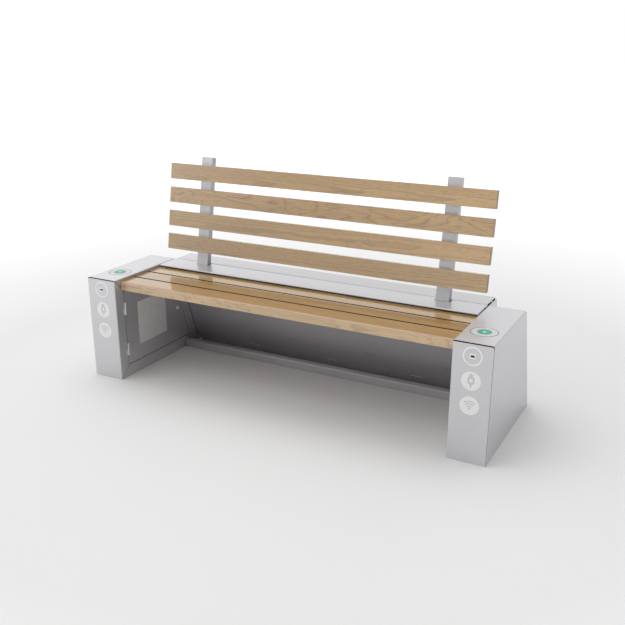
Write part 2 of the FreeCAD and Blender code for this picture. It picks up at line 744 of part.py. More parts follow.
def arm_holes():
    """Where the seat screws pass through one arm, as distances back from the front plane."""
    middles = [d.seat_front + d.seat_pitch * number + d.seat_slat_width / 2 for number in range(3)]
    return [depth(middle + d.seat_screw_spread * across) for middle in middles for across in (-1, 1)]


def arm_bar(name, x, back_y):
    """Flat bar under the slats, drilled for their screws."""
    wide = d.arm_width / 2
    body = block(name, (x - wide, x + wide), (depth(d.arm_front), back_y), (arm_low, seat_low))
    holes = [(x, y, d.screw_radius + d.hole_play) for y in arm_holes()]
    return cut(body, "z", arm_low - 1, d.arm_thick + 2, circles=holes)


def foot_plate(name, x):
    """Plate that bolts a bearer or a post to the front of the leaning panel."""
    wide = d.foot_width / 2
    return leaning_plate(new_body(name), x - wide, x + wide, -d.lean_plate - d.arm_thick / 2, -d.slip,
                         d.foot_low, d.foot_high)


def seat_bearer(name, side):
    """Bracket under the middle of the seat, with an upstand for the shelf."""
    x = d.inner_arm * side
    thick = d.web_thick / 2
    tip, back = depth(d.web_front), depth(d.upstand_front)
    before_fold = depth(d.shelf_back - d.plate - d.fold_play)
    web = new_body(f"bearer_web_{name}")
    corners = [
        (tip, arm_low), (tip, arm_low - d.web_tip),
        (lean_at(d.foot_low) - d.lean_plate, d.foot_low),
        (lean_at(d.foot_high) - d.lean_plate, d.foot_high), (before_fold, d.foot_high),
        (before_fold, roof), (back, roof), (back, arm_low),
    ]
    pad(web, "x", x - thick, d.web_thick, [corners])
    notches = [rectangle(y - d.screw_head - 1, y + d.screw_head + 1,
                         arm_low - d.screw_head_thick - 1, arm_low) for y in arm_holes()]
    cut(web, "x", x - thick, d.web_thick, notches)
    pieces = [web, arm_bar(f"bearer_bar_{name}", x, depth(d.arm_back)),
              foot_plate(f"bearer_foot_{name}", x)]
    return keep(fuse(f"seat_bearer_{name}", pieces))


# Backrest
def on_backrest(x, ahead, up):
    """A point from its place in the backrest's own leaning frame."""
    turn = math.radians(back_angle)
    y = depth(d.back_plane) + ahead * math.cos(turn) + up * math.sin(turn)
    z = d.back_level - ahead * math.sin(turn) + up * math.cos(turn)
    return (x, y, z)


def back_slats():
    for number in range(4):
        body = block(f"back_slat_{number + 1}", (-d.back_reach, d.back_reach),
                     (as_size(0), d.back_slat_thick), (as_size(0), d.back_slat_width))
        round_edges(body, d.slat_round, along("x"))
        middle = d.back_slat_width / 2
        holes = [(x, middle + d.post_screw_spread * across, d.post_screw_radius + d.hole_play)
                 for x in (-d.outer_arm, d.outer_arm) for across in (-1, 1)]
        bite = d.post_screw_length - d.post_thick + 1
        cut(body, "y", d.back_slat_thick - bite, bite, circles=holes)
        low = d.back_top - d.back_slat_width - d.back_pitch * number
        place(body, on_backrest(as_size(0), as_size(0), low), BACKREST)
        keep(body)


def slat_middle(number):
    return d.back_top - d.back_slat_width / 2 - d.back_pitch * number


def back_post(name, side):
    """Post of flat tube, closed at its top, with its seat arm, gusset and foot welded on."""
    x = d.outer_arm * side
    wide, wall = d.post_width / 2, d.post_wall
    ahead, behind = d.back_slat_thick, d.back_slat_thick + d.post_thick
    bar = block(f"post_bar_{name}", (x - wide, x + wide), (ahead, behind), (-d.post_low, d.post_top))
    hollow = rectangle(x - wide + wall, x + wide - wall, ahead + wall, behind - wall)
    cut(bar, "z", -d.post_low - 1, d.post_low + 1 + d.post_top - wall, [hollow])
    holes = [(x, slat_middle(number) + d.post_screw_spread * across,
              d.post_screw_radius + d.hole_play) for number in range(4) for across in (-1, 1)]
    cut(bar, "y", ahead - 1, d.post_thick + 2, circles=holes)
    place(bar, on_backrest(as_size(0), as_size(0), as_size(0)), BACKREST)
    arm_end = on_backrest(x, ahead + wall / 2, arm_low - d.back_level)[1]
    arm = arm_bar(f"post_arm_{name}", x, arm_end)
    gusset = new_body(f"post_gusset_{name}")
    low = on_backrest(x, behind - wall / 2, d.gusset_low - d.back_level)[1]
    high = on_backrest(x, behind - wall / 2, d.gusset_high - d.back_level)[1]
    corners = [
        (low, d.gusset_low), (lean_at(d.gusset_low) - d.lean_plate, d.gusset_low),
        (lean_at(d.gusset_high) - d.lean_plate, d.gusset_high), (high, d.gusset_high),
    ]
    pad(gusset, "x", x - d.gusset_thick / 2, d.gusset_thick, [corners])
    return keep(fuse(f"back_post_{name}", [bar, arm, gusset, foot_plate(f"post_foot_{name}", x)]))


def back_screws():
    """Screws through the posts into the slats, from behind."""
    pieces = []
    toward = FreeCAD.Rotation(FreeCAD.Vector(1, 0, 0), 90 - back_angle)
    for name, side in SIDES:
        for number in range(4):
            for across in (-1, 1):
                up = slat_middle(number) + d.post_screw_spread * across
                at = on_backrest(d.outer_arm * side, d.back_slat_thick + d.post_thick, up)
                pieces.append(screw(f"back_screw_{name}_{number}_{across + 1}", at, toward,
                                    d.post_screw_head, d.post_screw_head_thick,
                                    d.post_screw_radius, d.post_screw_length))
    group("back_screws", pieces)


# Shelf and rear box
def shelf():
    """Sheet behind the seat, folded down at both edges and notched for the posts."""
    body = new_body("shelf")
    high = d.pod_height
    low_lip, low_fold = high - d.shelf_lip, high - d.fold
    y, y_back = depth(d.shelf_front), depth(d.shelf_back)
    corners = [(y, high), (y_back, high), (y_back, low_fold), (y_back - d.plate, low_fold),
               (y_back - d.plate, roof), (y + d.plate, roof), (y + d.plate, low_lip), (y, low_lip)]
    pad(body, "x", -d.shelf_reach, d.shelf_reach * 2, [corners])
    wide = d.post_width / 2 + d.notch_play
    notches = [rectangle(d.outer_arm * side - wide, d.outer_arm * side + wide,
                         depth(d.notch_front), y_back) for name, side in SIDES]
    cut(body, "z", low_fold - 1, d.fold + 2, notches)
    return keep(round_edges(body, d.shelf_bend, top_edge_at(y, y_back)))


def top_edge_at(*places):
    """A test for long edges on the top plane at given Y places."""
    return lambda a, b: (along("x")(a, b) and near(a.z, d.pod_height)
                         and any(near(a.y, y) for y in places))


def box_lid():
    """Lid of the rear box, folded down at its front and along the slope at its back."""
    body = new_body("box_lid")
    high, low, low_fold = d.pod_height, d.pod_height - d.lid_lip, d.pod_height - d.fold
    y = depth(d.shelf_back) + d.lid_gap
    back = lean_at(high) + d.box_depth
    corners = [
        (y, low_fold), (y, high), (back, high), (lean_at(low) + d.box_depth, low),
        (lean_at(low) + d.box_depth - d.lean_plate, low),
        (lean_at(roof) + d.box_depth - d.lean_plate, roof), (y + d.plate, roof),
        (y + d.plate, low_fold),
    ]
    pad(body, "x", -d.lid_reach, d.lid_reach * 2, [corners])
    return keep(round_edges(body, d.shelf_bend, top_edge_at(y, back)))


def box_panel():
    """Leaning panel under the seat, with bolt holes and three low vents."""
    body = leaning_plate(new_body("box_panel_blank"), -d.panel_reach, d.panel_reach, as_size(0),
                         d.lean_plate, as_size(0), d.foot_high)
    wide, tall = d.vent_length / 2, d.vent_height / 2
    vents = [rectangle(d.vent_pitch * n - wide, d.vent_pitch * n + wide, d.vent_level - tall,
                       d.vent_level + tall) for n in (-1, 0, 1)]
    cut(body, "y", lean_at(d.vent_level) - d.plate * 2, d.plate * 5, vents)
    return keep(drilled("box_panel", body, rib_bolt_places(), as_size(0)))


def box_cheek(name, side):
    """End of the rear box, with a flange that lies on the back of the end box."""
    body = new_body(f"box_cheek_blank_{name}")
    outer = inner - d.cheek_inset
    x_low, x_high = span(side, outer - d.plate, outer)
    leaning_plate(body, x_low, x_high, as_size(0), d.box_depth, as_size(0), d.cheek_high)
    x_low, x_high = span(side, outer, outer + d.tie_flange)
    leaning_plate(body, x_low, x_high, d.slip, d.lean_plate, d.tie_low, d.tie_high)
    return keep(drilled(f"box_cheek_{name}", body, tie_bolt_places(side), d.lean_plate))


def box_ribs():
    """Channels that join the panel to the solar module's frame."""
    pieces = []
    far = d.box_depth - d.frame_deep
    for number, x in enumerate(RIBS):
        wide = d.rib_width / 2
        body = leaning_plate(new_body(f"rib_blank_{number}"), x - wide, x + wide, d.lean_plate, far,
                             as_size(0), d.foot_high)
        inside = wide - d.plate
        corners = [
            (lean_at(as_size(0)) + d.lean_plate * 2, 0), (lean_at(as_size(0)) + far, 0),
            (lean_at(d.foot_high) + far, d.foot_high),
            (lean_at(d.foot_high) + d.lean_plate * 2, d.foot_high),
        ]
        cut(body, "x", x - inside, inside * 2, [corners])
        mine = [(x + d.rib_bolt_side * across, d.rib_bolt_level) for across in (-1, 1)]
        pieces.append(drilled(f"rib_{number}", body, mine, as_size(0)))
    group("box_ribs", pieces)


# Solar module
def module_profile(ahead, behind, low, high):
    """Corners between two distances in front of the rear box's back plane."""
    back = d.box_depth
    return [(lean_at(low) + back - ahead, low), (lean_at(low) + back - behind, low),
            (lean_at(high) + back - behind, high), (lean_at(high) + back - ahead, high)]


def module_frame():
    body = new_body("solar_frame")
    low, high, reach = d.frame_low, d.frame_high, d.frame_reach
    pad(body, "x", -reach, reach * 2, [module_profile(as_size(0), d.frame_deep, low, high)])
    wall = d.frame_wall
    pocket = module_profile(d.lip_thick, d.frame_deep, low + wall, high - wall)
    cut(body, "x", -reach + wall, (reach - wall) * 2, [pocket])
    lip = d.frame_lip
    window = module_profile(as_size(0), d.frame_deep, low + lip, high - lip)
    return keep(cut(body, "x", -reach + lip, (reach - lip) * 2, [window]))


def laminate():
    """Glass with the cells behind it, inside the frame's lip."""
    wall = d.frame_wall + d.laminate_play
    reach = d.frame_reach - wall
    thick = d.lip_thick + d.slip
    corners = module_profile(thick, thick + d.laminate_thick, d.frame_low + wall, d.frame_high - wall)
    return keep(pad(new_body("solar_laminate"), "x", -reach, reach * 2, [corners]))


def junction_box():
    wide = d.junction_wide / 2
    near_glass = d.lip_thick + d.laminate_thick + d.slip * 2
    corners = module_profile(near_glass, near_glass + d.junction_deep, d.junction_low,
                             d.junction_low + d.junction_tall)
    return keep(pad(new_body("solar_junction"), "x", -wide, d.junction_wide, [corners]))


# Base rail
def base_rail():
    """Tray on the ground in front of the panel, its front edge folded up and back."""
    body = new_body("base_rail")
    y, t, high = depth(d.rail_front), d.plate, d.rail_height
    ledge = y + d.rail_ledge
    corners = [
        (y, 0), (y, high), (ledge, high), (ledge, high - d.rail_hem), (ledge - t, high - d.rail_hem),
        (ledge - t, high - t), (y + t, high - t), (y + t, t), (lean_at(t) - d.slip, t),
        (lean_at(as_size(0)) - d.slip - 1, 0),
    ]
    pad(body, "x", -d.rail_reach, d.rail_reach * 2, [corners])
    holes = [(d.rail_bolt_side * side, depth(d.rail_bolt_back), d.anchor_radius) for name, side in SIDES]
    cut(body, "z", as_size(-1), t + 2, circles=holes)
    bend = (y.value, high.value)
    return keep(round_edges(body, d.rail_bend, lambda a, b: along("x")(a, b)
                            and near(a.y, bend[0]) and near(a.z, bend[1])))


def frame_bolts():
    """Bolts of the ribs, whose heads show in pairs on the panel, and of the cheeks."""
    pieces = []
    for number, (x, level) in enumerate(rib_bolt_places()):
        pieces.append(screw(f"rib_bolt_{number}", (x, lean_at(level), level), INTO_BOX, d.bolt_head,
                            d.bolt_head_thick, d.bolt_radius, d.bolt_length))
    for name, side in SIDES:
        for number, (x, level) in enumerate(tie_bolt_places(side)):
            at = (x, lean_at(level) + d.lean_plate, level)
            pieces.append(screw(f"tie_bolt_{name}_{number}", at, OUT_OF_BOX, d.bolt_head,
                                d.bolt_head_thick, d.bolt_radius, d.bolt_length))
    group("frame_bolts", pieces)


def cable_run():
    """Cable from one end box to the other, straight through the base rail."""
    y, z = depth(d.cable_back), d.cable_level
    reach = inner + d.cable_end
    cable = cylinder("cable_run", d.cable_radius, reach * 2, (-reach, y, z), TO_RIGHT)
    cable.Label = "cable_run"
    keep(cable)


def rail_anchors():
    """Anchor bolts of the rail. What goes into the ground is left off."""
    pieces = []
    for name, side in SIDES:
        at = (d.rail_bolt_side * side, depth(d.rail_bolt_back), d.plate)
        pieces.append(screw(f"rail_anchor_{name}", at, FreeCAD.Rotation(FreeCAD.Vector(1, 0, 0), 180),
                            d.anchor_head, d.anchor_head_thick, d.anchor_radius - d.hole_play,
                            d.plate))
    group("rail_anchors", pieces)


build_order = [
    (pod_wrap, True), (pod_front, True), (pod_back, True), (pod_base, True), (pod_seal, True),
    (service_door, True), (door_window, True), (window_screws, True), (lock_plug, True),
    (lock_cam, True), (charging_pad, True), (charging_coil, True), (usb_module, True),
    (seat_bearer, True), (back_post, True), (box_cheek, True), (pod_rivets, False), (hinges, False),
    (pod_contents, False), (seat_slats, False), (seat_screws, False), (back_slats, False),
    (back_screws, False), (shelf, False), (box_lid, False), (box_panel, False), (box_ribs, False),
    (module_frame, False), (laminate, False), (junction_box, False), (base_rail, False),
    (frame_bolts, False), (cable_run, False), (rail_anchors, False),
]
for make, both_sides in build_order:
    if both_sides:
        for side_name, side_sign in SIDES:
            make(side_name, side_sign)
    else:
        make()

doc.recompute()
for item in doc.Objects:
    if {"Invalid", "Error"} & set(item.State):
        raise RuntimeError(f"{item.Label}: {item.State}")
labels = [item.Label for item in parts]
if len(set(labels)) != len(labels):
    raise RuntimeError("two parts share a name")
os.makedirs("parts", exist_ok=True)
for item in parts:
    shape = item.Shape
    if shape.isNull() or not shape.isValid():
        raise RuntimeError(f"{item.Label}: bad shape")
    shape.exportStep(f"parts/{item.Label}.step")
    print(item.Label, len(shape.Solids), round(shape.Volume / 1000, 1))
print(len(parts), "parts")
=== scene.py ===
"""Looks for the solar charging bench: materials, printed signs, small trim, light and camera.

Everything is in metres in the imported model's frame: X along the bench, +Y to the back, +Z up.
"""
import math

import bmesh
import bpy
from mathutils import Matrix, Vector


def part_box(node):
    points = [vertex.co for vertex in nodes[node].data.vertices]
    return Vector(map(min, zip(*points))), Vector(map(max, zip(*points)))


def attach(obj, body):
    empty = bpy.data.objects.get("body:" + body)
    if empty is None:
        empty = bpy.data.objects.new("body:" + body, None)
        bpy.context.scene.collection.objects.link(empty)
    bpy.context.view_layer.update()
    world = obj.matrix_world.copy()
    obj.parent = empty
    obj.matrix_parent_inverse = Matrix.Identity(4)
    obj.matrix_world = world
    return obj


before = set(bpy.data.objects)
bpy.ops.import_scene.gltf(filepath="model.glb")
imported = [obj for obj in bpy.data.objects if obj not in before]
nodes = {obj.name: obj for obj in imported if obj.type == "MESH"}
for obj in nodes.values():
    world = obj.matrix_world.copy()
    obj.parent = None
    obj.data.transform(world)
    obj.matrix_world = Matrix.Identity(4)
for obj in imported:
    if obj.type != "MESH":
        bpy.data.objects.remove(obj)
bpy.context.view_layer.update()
SIDES = (("left", -1), ("right", 1))

# Places that the signs and the trim take from the model
FRONT_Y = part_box("pod_front_left")[0].y
INNER_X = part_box("pod_front_right")[0].x
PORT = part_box("usb_module_right")
POD_X = (PORT[0].x + PORT[1].x) / 2
PORT_Z = (PORT[0].z + PORT[1].z) / 2
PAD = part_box("charging_pad_right")
PAD_Y = (PAD[0].y + PAD[1].y) / 2
PAD_TOP = PAD[1].z
SEAM_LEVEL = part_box("pod_front_left")[1].z - 0.004
SEAM_FADE = 0.012


# Camera
CAMERA_AT = Vector((1.57788, -2.94535, 1.46578))
YAW, PITCH, ROLL = 28.581, 19.437, -0.186
FOCAL_PIXELS, PICTURE_PIXELS = 823.06, 625
CENTRE_PIXELS = (303.08, 322.61)


def make_camera():
    data = bpy.data.cameras.new("camera")
    camera = bpy.data.objects.new("camera", data)
    bpy.context.scene.collection.objects.link(camera)
    data.sensor_width = 36
    data.lens = FOCAL_PIXELS / PICTURE_PIXELS * data.sensor_width
    data.shift_x = (PICTURE_PIXELS / 2 - CENTRE_PIXELS[0]) / PICTURE_PIXELS
    data.shift_y = (CENTRE_PIXELS[1] - PICTURE_PIXELS / 2) / PICTURE_PIXELS
    turn = Matrix.Rotation(math.radians(YAW), 3, "Z")
    turn = turn @ Matrix.Rotation(math.radians(90 - PITCH), 3, "X")
    turn = turn @ Matrix.Rotation(math.radians(ROLL), 3, "Z")
    camera.location = CAMERA_AT
    camera.rotation_euler = turn.to_euler()
    bpy.context.scene.camera = camera


# Studio: name, place, aim, size in metres and power in watts of each lamp
LAMPS = (("key", (-1.6, -2.6, 4.0), (0, 0, 0.3), (3.2, 2.2), 28),
         ("side", (4.2, 0.8, 2.6), (0.4, 0, 0.3), (2.6, 2.0), 8),
         ("top", (0.2, 0.4, 4.2), (0, 0, 0.4), (4.0, 3.0), 48))
# Soft light from all round: direction it comes from, how tightly, how strong
SKY_LOBES = (((0, 0, 1), 1, 0.80), ((-1, 0, 0), 2, 2.00), ((0, 1, 0), 2, 0.75),
             ((-0.684, -0.708, 0.174), 120, 4.00), ((-0.215, -0.973, 0.087), 100, 2.10),
             ((0, 0.95, 0.30), 25, 0.45))
FLOOR_RADIUS = 40
FADE_START, FADE_END = 1.6, 5.0


def area_light(name, at, aim, size, power):
    data = bpy.data.lights.new(name, "AREA")
    data.shape = "RECTANGLE"
    data.size, data.size_y = size
    data.energy = power
    light = bpy.data.objects.new(name, data)
    bpy.context.scene.collection.objects.link(light)
    light.location = at
    light.rotation_euler = (Vector(aim) - Vector(at)).to_track_quat("-Z", "Y").to_euler()


def make_studio():
    scene = bpy.context.scene
    scene.view_settings.view_transform = "Standard"
    scene.view_settings.look = "None"
    world = bpy.data.worlds.new("studio")
    scene.world = world
    world.use_nodes = True
    tree = world.node_tree
    tree.nodes.clear()
    out = tree.nodes.new("ShaderNodeOutputWorld")
    sky = tree.nodes.new("ShaderNodeBackground")
    tree.links.new(sky_strength(tree), sky.inputs["Strength"])
    backdrop = tree.nodes.new("ShaderNodeBackground")
    backdrop.inputs["Color"].default_value = (1, 1, 1, 1)
    seen = tree.nodes.new("ShaderNodeLightPath")
    choose = tree.nodes.new("ShaderNodeMixShader")
    tree.links.new(seen.outputs["Is Camera Ray"], choose.inputs[0])
    tree.links.new(sky.outputs["Background"], choose.inputs[1])
    tree.links.new(backdrop.outputs["Background"], choose.inputs[2])
    tree.links.new(choose.outputs["Shader"], out.inputs["Surface"])
    for lamp in LAMPS:
        area_light(*lamp)
    make_floor()


def sky_strength(tree):
    """Adds the lobes up: each is the cosine to its direction, to a power."""
    where = tree.nodes.new("ShaderNodeTexCoord")
    unit = tree.nodes.new("ShaderNodeVectorMath")
    unit.operation = "NORMALIZE"
    tree.links.new(where.outputs["Generated"], unit.inputs[0])

    def step(operation, first, second):
        node = tree.nodes.new("ShaderNodeMath")
        node.operation = operation
        for index, value in enumerate((first, second)):
            if isinstance(value, (int, float)):
                node.inputs[index].default_value = value
            else:
                tree.links.new(value, node.inputs[index])
        return node.outputs[0]

    total = 0.0
    for direction, power, strength in SKY_LOBES:
        along = tree.nodes.new("ShaderNodeVectorMath")
        along.operation = "DOT_PRODUCT"
        tree.links.new(unit.outputs[0], along.inputs[0])
        along.inputs[1].default_value = direction
        lobe = step("POWER", step("MAXIMUM", along.outputs["Value"], 0.0), power)
        total = step("ADD", step("MULTIPLY", lobe, strength), total)
    return total


def make_floor():
    """A pale floor that fades to the white backdrop, so that no horizon shows."""
    mesh = bpy.data.meshes.new("floor")
    shape = bmesh.new()
    bmesh.ops.create_circle(shape, cap_ends=True, segments=96, radius=FLOOR_RADIUS)
    shape.to_mesh(mesh)
    shape.free()
    floor = bpy.data.objects.new("floor", mesh)
    bpy.context.scene.collection.objects.link(floor)
    m = Material("floor", (0.9, 0.9, 0.9), roughness=0.9)
    m.tint(m.noise(m.place(), scale=0.6, detail=2), (0.79, 0.79, 0.79), (0.82, 0.82, 0.82))
    away = m.node("ShaderNodeVectorMath", operation="LENGTH")
    m.link(m.place(), away, 0)
    m.set("Emission Color", (1, 1, 1, 1))
    glow = m.spread(away.outputs["Value"], FADE_START, FADE_END, 0.02, 0.6)
    m.link(glow, m.shader, "Emission Strength")
    mesh.materials.append(m.material)


# Materials
class Material:
    """A node material built step by step round one Principled shader."""

    def __init__(self, name, base, **sockets):
        self.material = bpy.data.materials.new(name)
        self.material.use_nodes = True
        self.tree = self.material.node_tree
        self.shader = self.tree.nodes["Principled BSDF"]
        self.shader.inputs["Base Color"].default_value = (*base, 1)
        for socket, value in sockets.items():
            self.shader.inputs[socket.replace("_", " ").title()].default_value = value

    def set(self, socket, value):
        self.shader.inputs[socket].default_value = value

    def node(self, kind, **settings):
        node = self.tree.nodes.new(kind)
        for name, value in settings.items():
            setattr(node, name, value)
        return node

    def link(self, source, node, socket):
        self.tree.links.new(source, node.inputs[socket])

    def place(self, offset=(0, 0, 0), turn=(0, 0, 0), scale=(1, 1, 1)):
        """Object coordinates, moved, turned in degrees and scaled."""
        where = self.node("ShaderNodeTexCoord")
        mapping = self.node("ShaderNodeMapping")
        self.link(where.outputs["Object"], mapping, "Vector")
        mapping.inputs["Location"].default_value = offset
        mapping.inputs["Rotation"].default_value = [math.radians(a) for a in turn]
        mapping.inputs["Scale"].default_value = scale
        return mapping.outputs["Vector"]

    def noise(self, vector, scale, detail=3, roughness=0.5, distortion=0):
        noise = self.node("ShaderNodeTexNoise")
        self.link(vector, noise, "Vector")
        noise.inputs["Scale"].default_value = scale
        noise.inputs["Detail"].default_value = detail
        noise.inputs["Roughness"].default_value = roughness
        noise.inputs["Distortion"].default_value = distortion
        return noise.outputs["Fac"]

    def math(self, operation, first, second=None):
        step = self.node("ShaderNodeMath", operation=operation)
        for index, value in enumerate((first, second)):
            if value is None:
                continue
            if isinstance(value, (int, float)):
                step.inputs[index].default_value = value
            else:
                self.link(value, step, index)
        return step.outputs[0]

    def spread(self, value, low, high, to_low=0.0, to_high=1.0):
        """Maps a range of a value to another range, clamped."""
        step = self.node("ShaderNodeMapRange")
        self.link(value, step, "Value")
        for socket, number in (("From Min", low), ("From Max", high), ("To Min", to_low),
                               ("To Max", to_high)):
            step.inputs[socket].default_value = number
        return step.outputs["Result"]

    def mix(self, factor, first, second, blend="MIX"):
        step = self.node("ShaderNodeMix", data_type="RGBA", blend_type=blend)
        for index, value in ((0, factor), (6, first), (7, second)):
            if isinstance(value, tuple):
                step.inputs[index].default_value = (*value, 1)
            elif isinstance(value, (int, float)):
                step.inputs[index].default_value = value
            else:
                self.tree.links.new(value, step.inputs[index])
        return step.outputs[2]

    def tint(self, factor, first, second):
        """Colour that runs between two tones."""
        self.colour(self.mix(factor, first, second))

    def colour(self, value):
        self.link(value, self.shader, "Base Color")

    def rough(self, factor, low, high):
        self.link(self.spread(factor, 0, 1, low, high), self.shader, "Roughness")

    def bump(self, height, strength, distance, socket="Normal"):
        bump = self.node("ShaderNodeBump")
        self.link(height, bump, "Height")
        bump.inputs["Strength"].default_value = strength
        bump.inputs["Distance"].default_value = distance
        self.link(bump.outputs["Normal"], self.shader, socket)

    def normal(self):
        """The surface's direction, split into X, Y and Z."""
        split = self.node("ShaderNodeSeparateXYZ")
        self.link(self.node("ShaderNodeNewGeometry").outputs["Normal"], split, 0)
        return split.outputs

    def position(self, offset=(0, 0, 0)):
        """Object coordinates, split into X, Y and Z."""
        split = self.node("ShaderNodeSeparateXYZ")
        self.link(self.place(offset), split, 0)
        return split.outputs


def scaled(tone, factor):
    """A colour made lighter or darker, never past white."""
    return tuple(min(1.0, c * factor) for c in tone)


def silver_coat(name, tone, roughness=0.40, coat=0.35, side_shade=1.0):
    """Fine-grained silver paint: metal flake under a thin clear coat.

    A factor below one darkens the faces that look along the bench: painted shade on the sides.
    """
    m = Material(name, tone, metallic=0.6, roughness=roughness, coat_weight=coat,
                 coat_roughness=0.08)
    grain = m.noise(m.place(), scale=1300, detail=2, roughness=0.6)
    broad = m.noise(m.place(), scale=4, detail=3)
    speckled = m.mix(m.spread(grain, 0.35, 0.65), scaled(tone, 0.92), scaled(tone, 1.06))
    even = m.mix(m.spread(broad, 0.3, 0.7, 0.0, 0.25), speckled, scaled(tone, 0.95))
    # Painted shade: the faces that look along the bench are darkened.
    if side_shade != 1.0:
        side_shade_mask = m.spread(m.math("ABSOLUTE", m.normal()["X"]), 0.6, 0.8)
        even = m.mix(side_shade_mask, even, m.mix(1.0, even, (side_shade,) * 3, "MULTIPLY"))
    m.colour(even)
    m.rough(broad, roughness - 0.03, roughness + 0.04)
    m.bump(grain, strength=0.10, distance=0.0002)
    return m.material


# Oak: pale, middle and dark wood, and how the boards differ, partly as painted light and shade
OAK_TONES = ((0.60, 0.415, 0.225), (0.51, 0.340, 0.175), (0.30, 0.180, 0.090))
# Seat tops toned apart from their front faces, slat 3 the lightest: painted light and shade.
SEAT_TOP_SHADING = {1: (0.76, 0.64, 0.33), 2: (0.72, 0.60, 0.28), 3: (0.88, 0.77, 0.40)}
END_TONES = ((0.33, 0.205, 0.105), (0.20, 0.115, 0.052))
# Painted shade on the faces that look into the gaps between the seat boards.
GAP_SHADE_TONE = (0.10, 0.075, 0.06)
# The lowest back board takes a slightly darker tone: painted shade under the seat.
BACK_TONE, LOWEST_BACK_SHADED_TONE = (0.885, 0.83, 0.66), (0.86, 0.81, 0.64)
# Painted light along the back boards: darker at the left and middle, lighter towards the right end,
# between two places along X.
BACK_SHADED, BACK_LIT = (0.93, 0.93, 0.93), (1.08, 1.08, 1.08)
LIT_RAMP_FROM, LIT_RAMP_TO = -0.3, 0.7
# Strength of the ring lines and how much they wander, for each board of the back from the top
BACK_FIGURES = ((0.60, 0.3), (0.35, 0.6), (0.50, 0.26), (0.60, 0.3))
RINGS = 70


def ring_lines(m, node, seed, wander):
    """Late wood of a log's rings, whose heart runs along the board at a distance from it."""
    low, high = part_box(node)
    middle = (low + high) / 2
    away = 0.055 + 0.014 * (seed % 4)
    off = 0.012 * ((seed * 2) % 5 - 2)
    heart = (0.05 * seed, off, away) if node.startswith("seat") else (0.05 * seed, away, off)
    shift = [heart[0], heart[1] - middle.y, heart[2] - middle.z]
    tilt = (0, 5.0 - 2.5 * (seed % 3), 4.0 - 2.2 * (seed % 4))
    wave = m.node("ShaderNodeTexWave", wave_type="RINGS", rings_direction="X", wave_profile="SAW")
    m.link(m.place(shift, tilt, (0.16, 1, 1)), wave, "Vector")
    for socket, value in (("Scale", RINGS), ("Distortion", 6.0), ("Detail", 2.5),
                          ("Detail Scale", wander), ("Detail Roughness", 0.55),
                          ("Phase Offset", seed * 1.7)):
        wave.inputs[socket].default_value = value
    return m.spread(wave.outputs["Fac"], 0.55, 0.97)


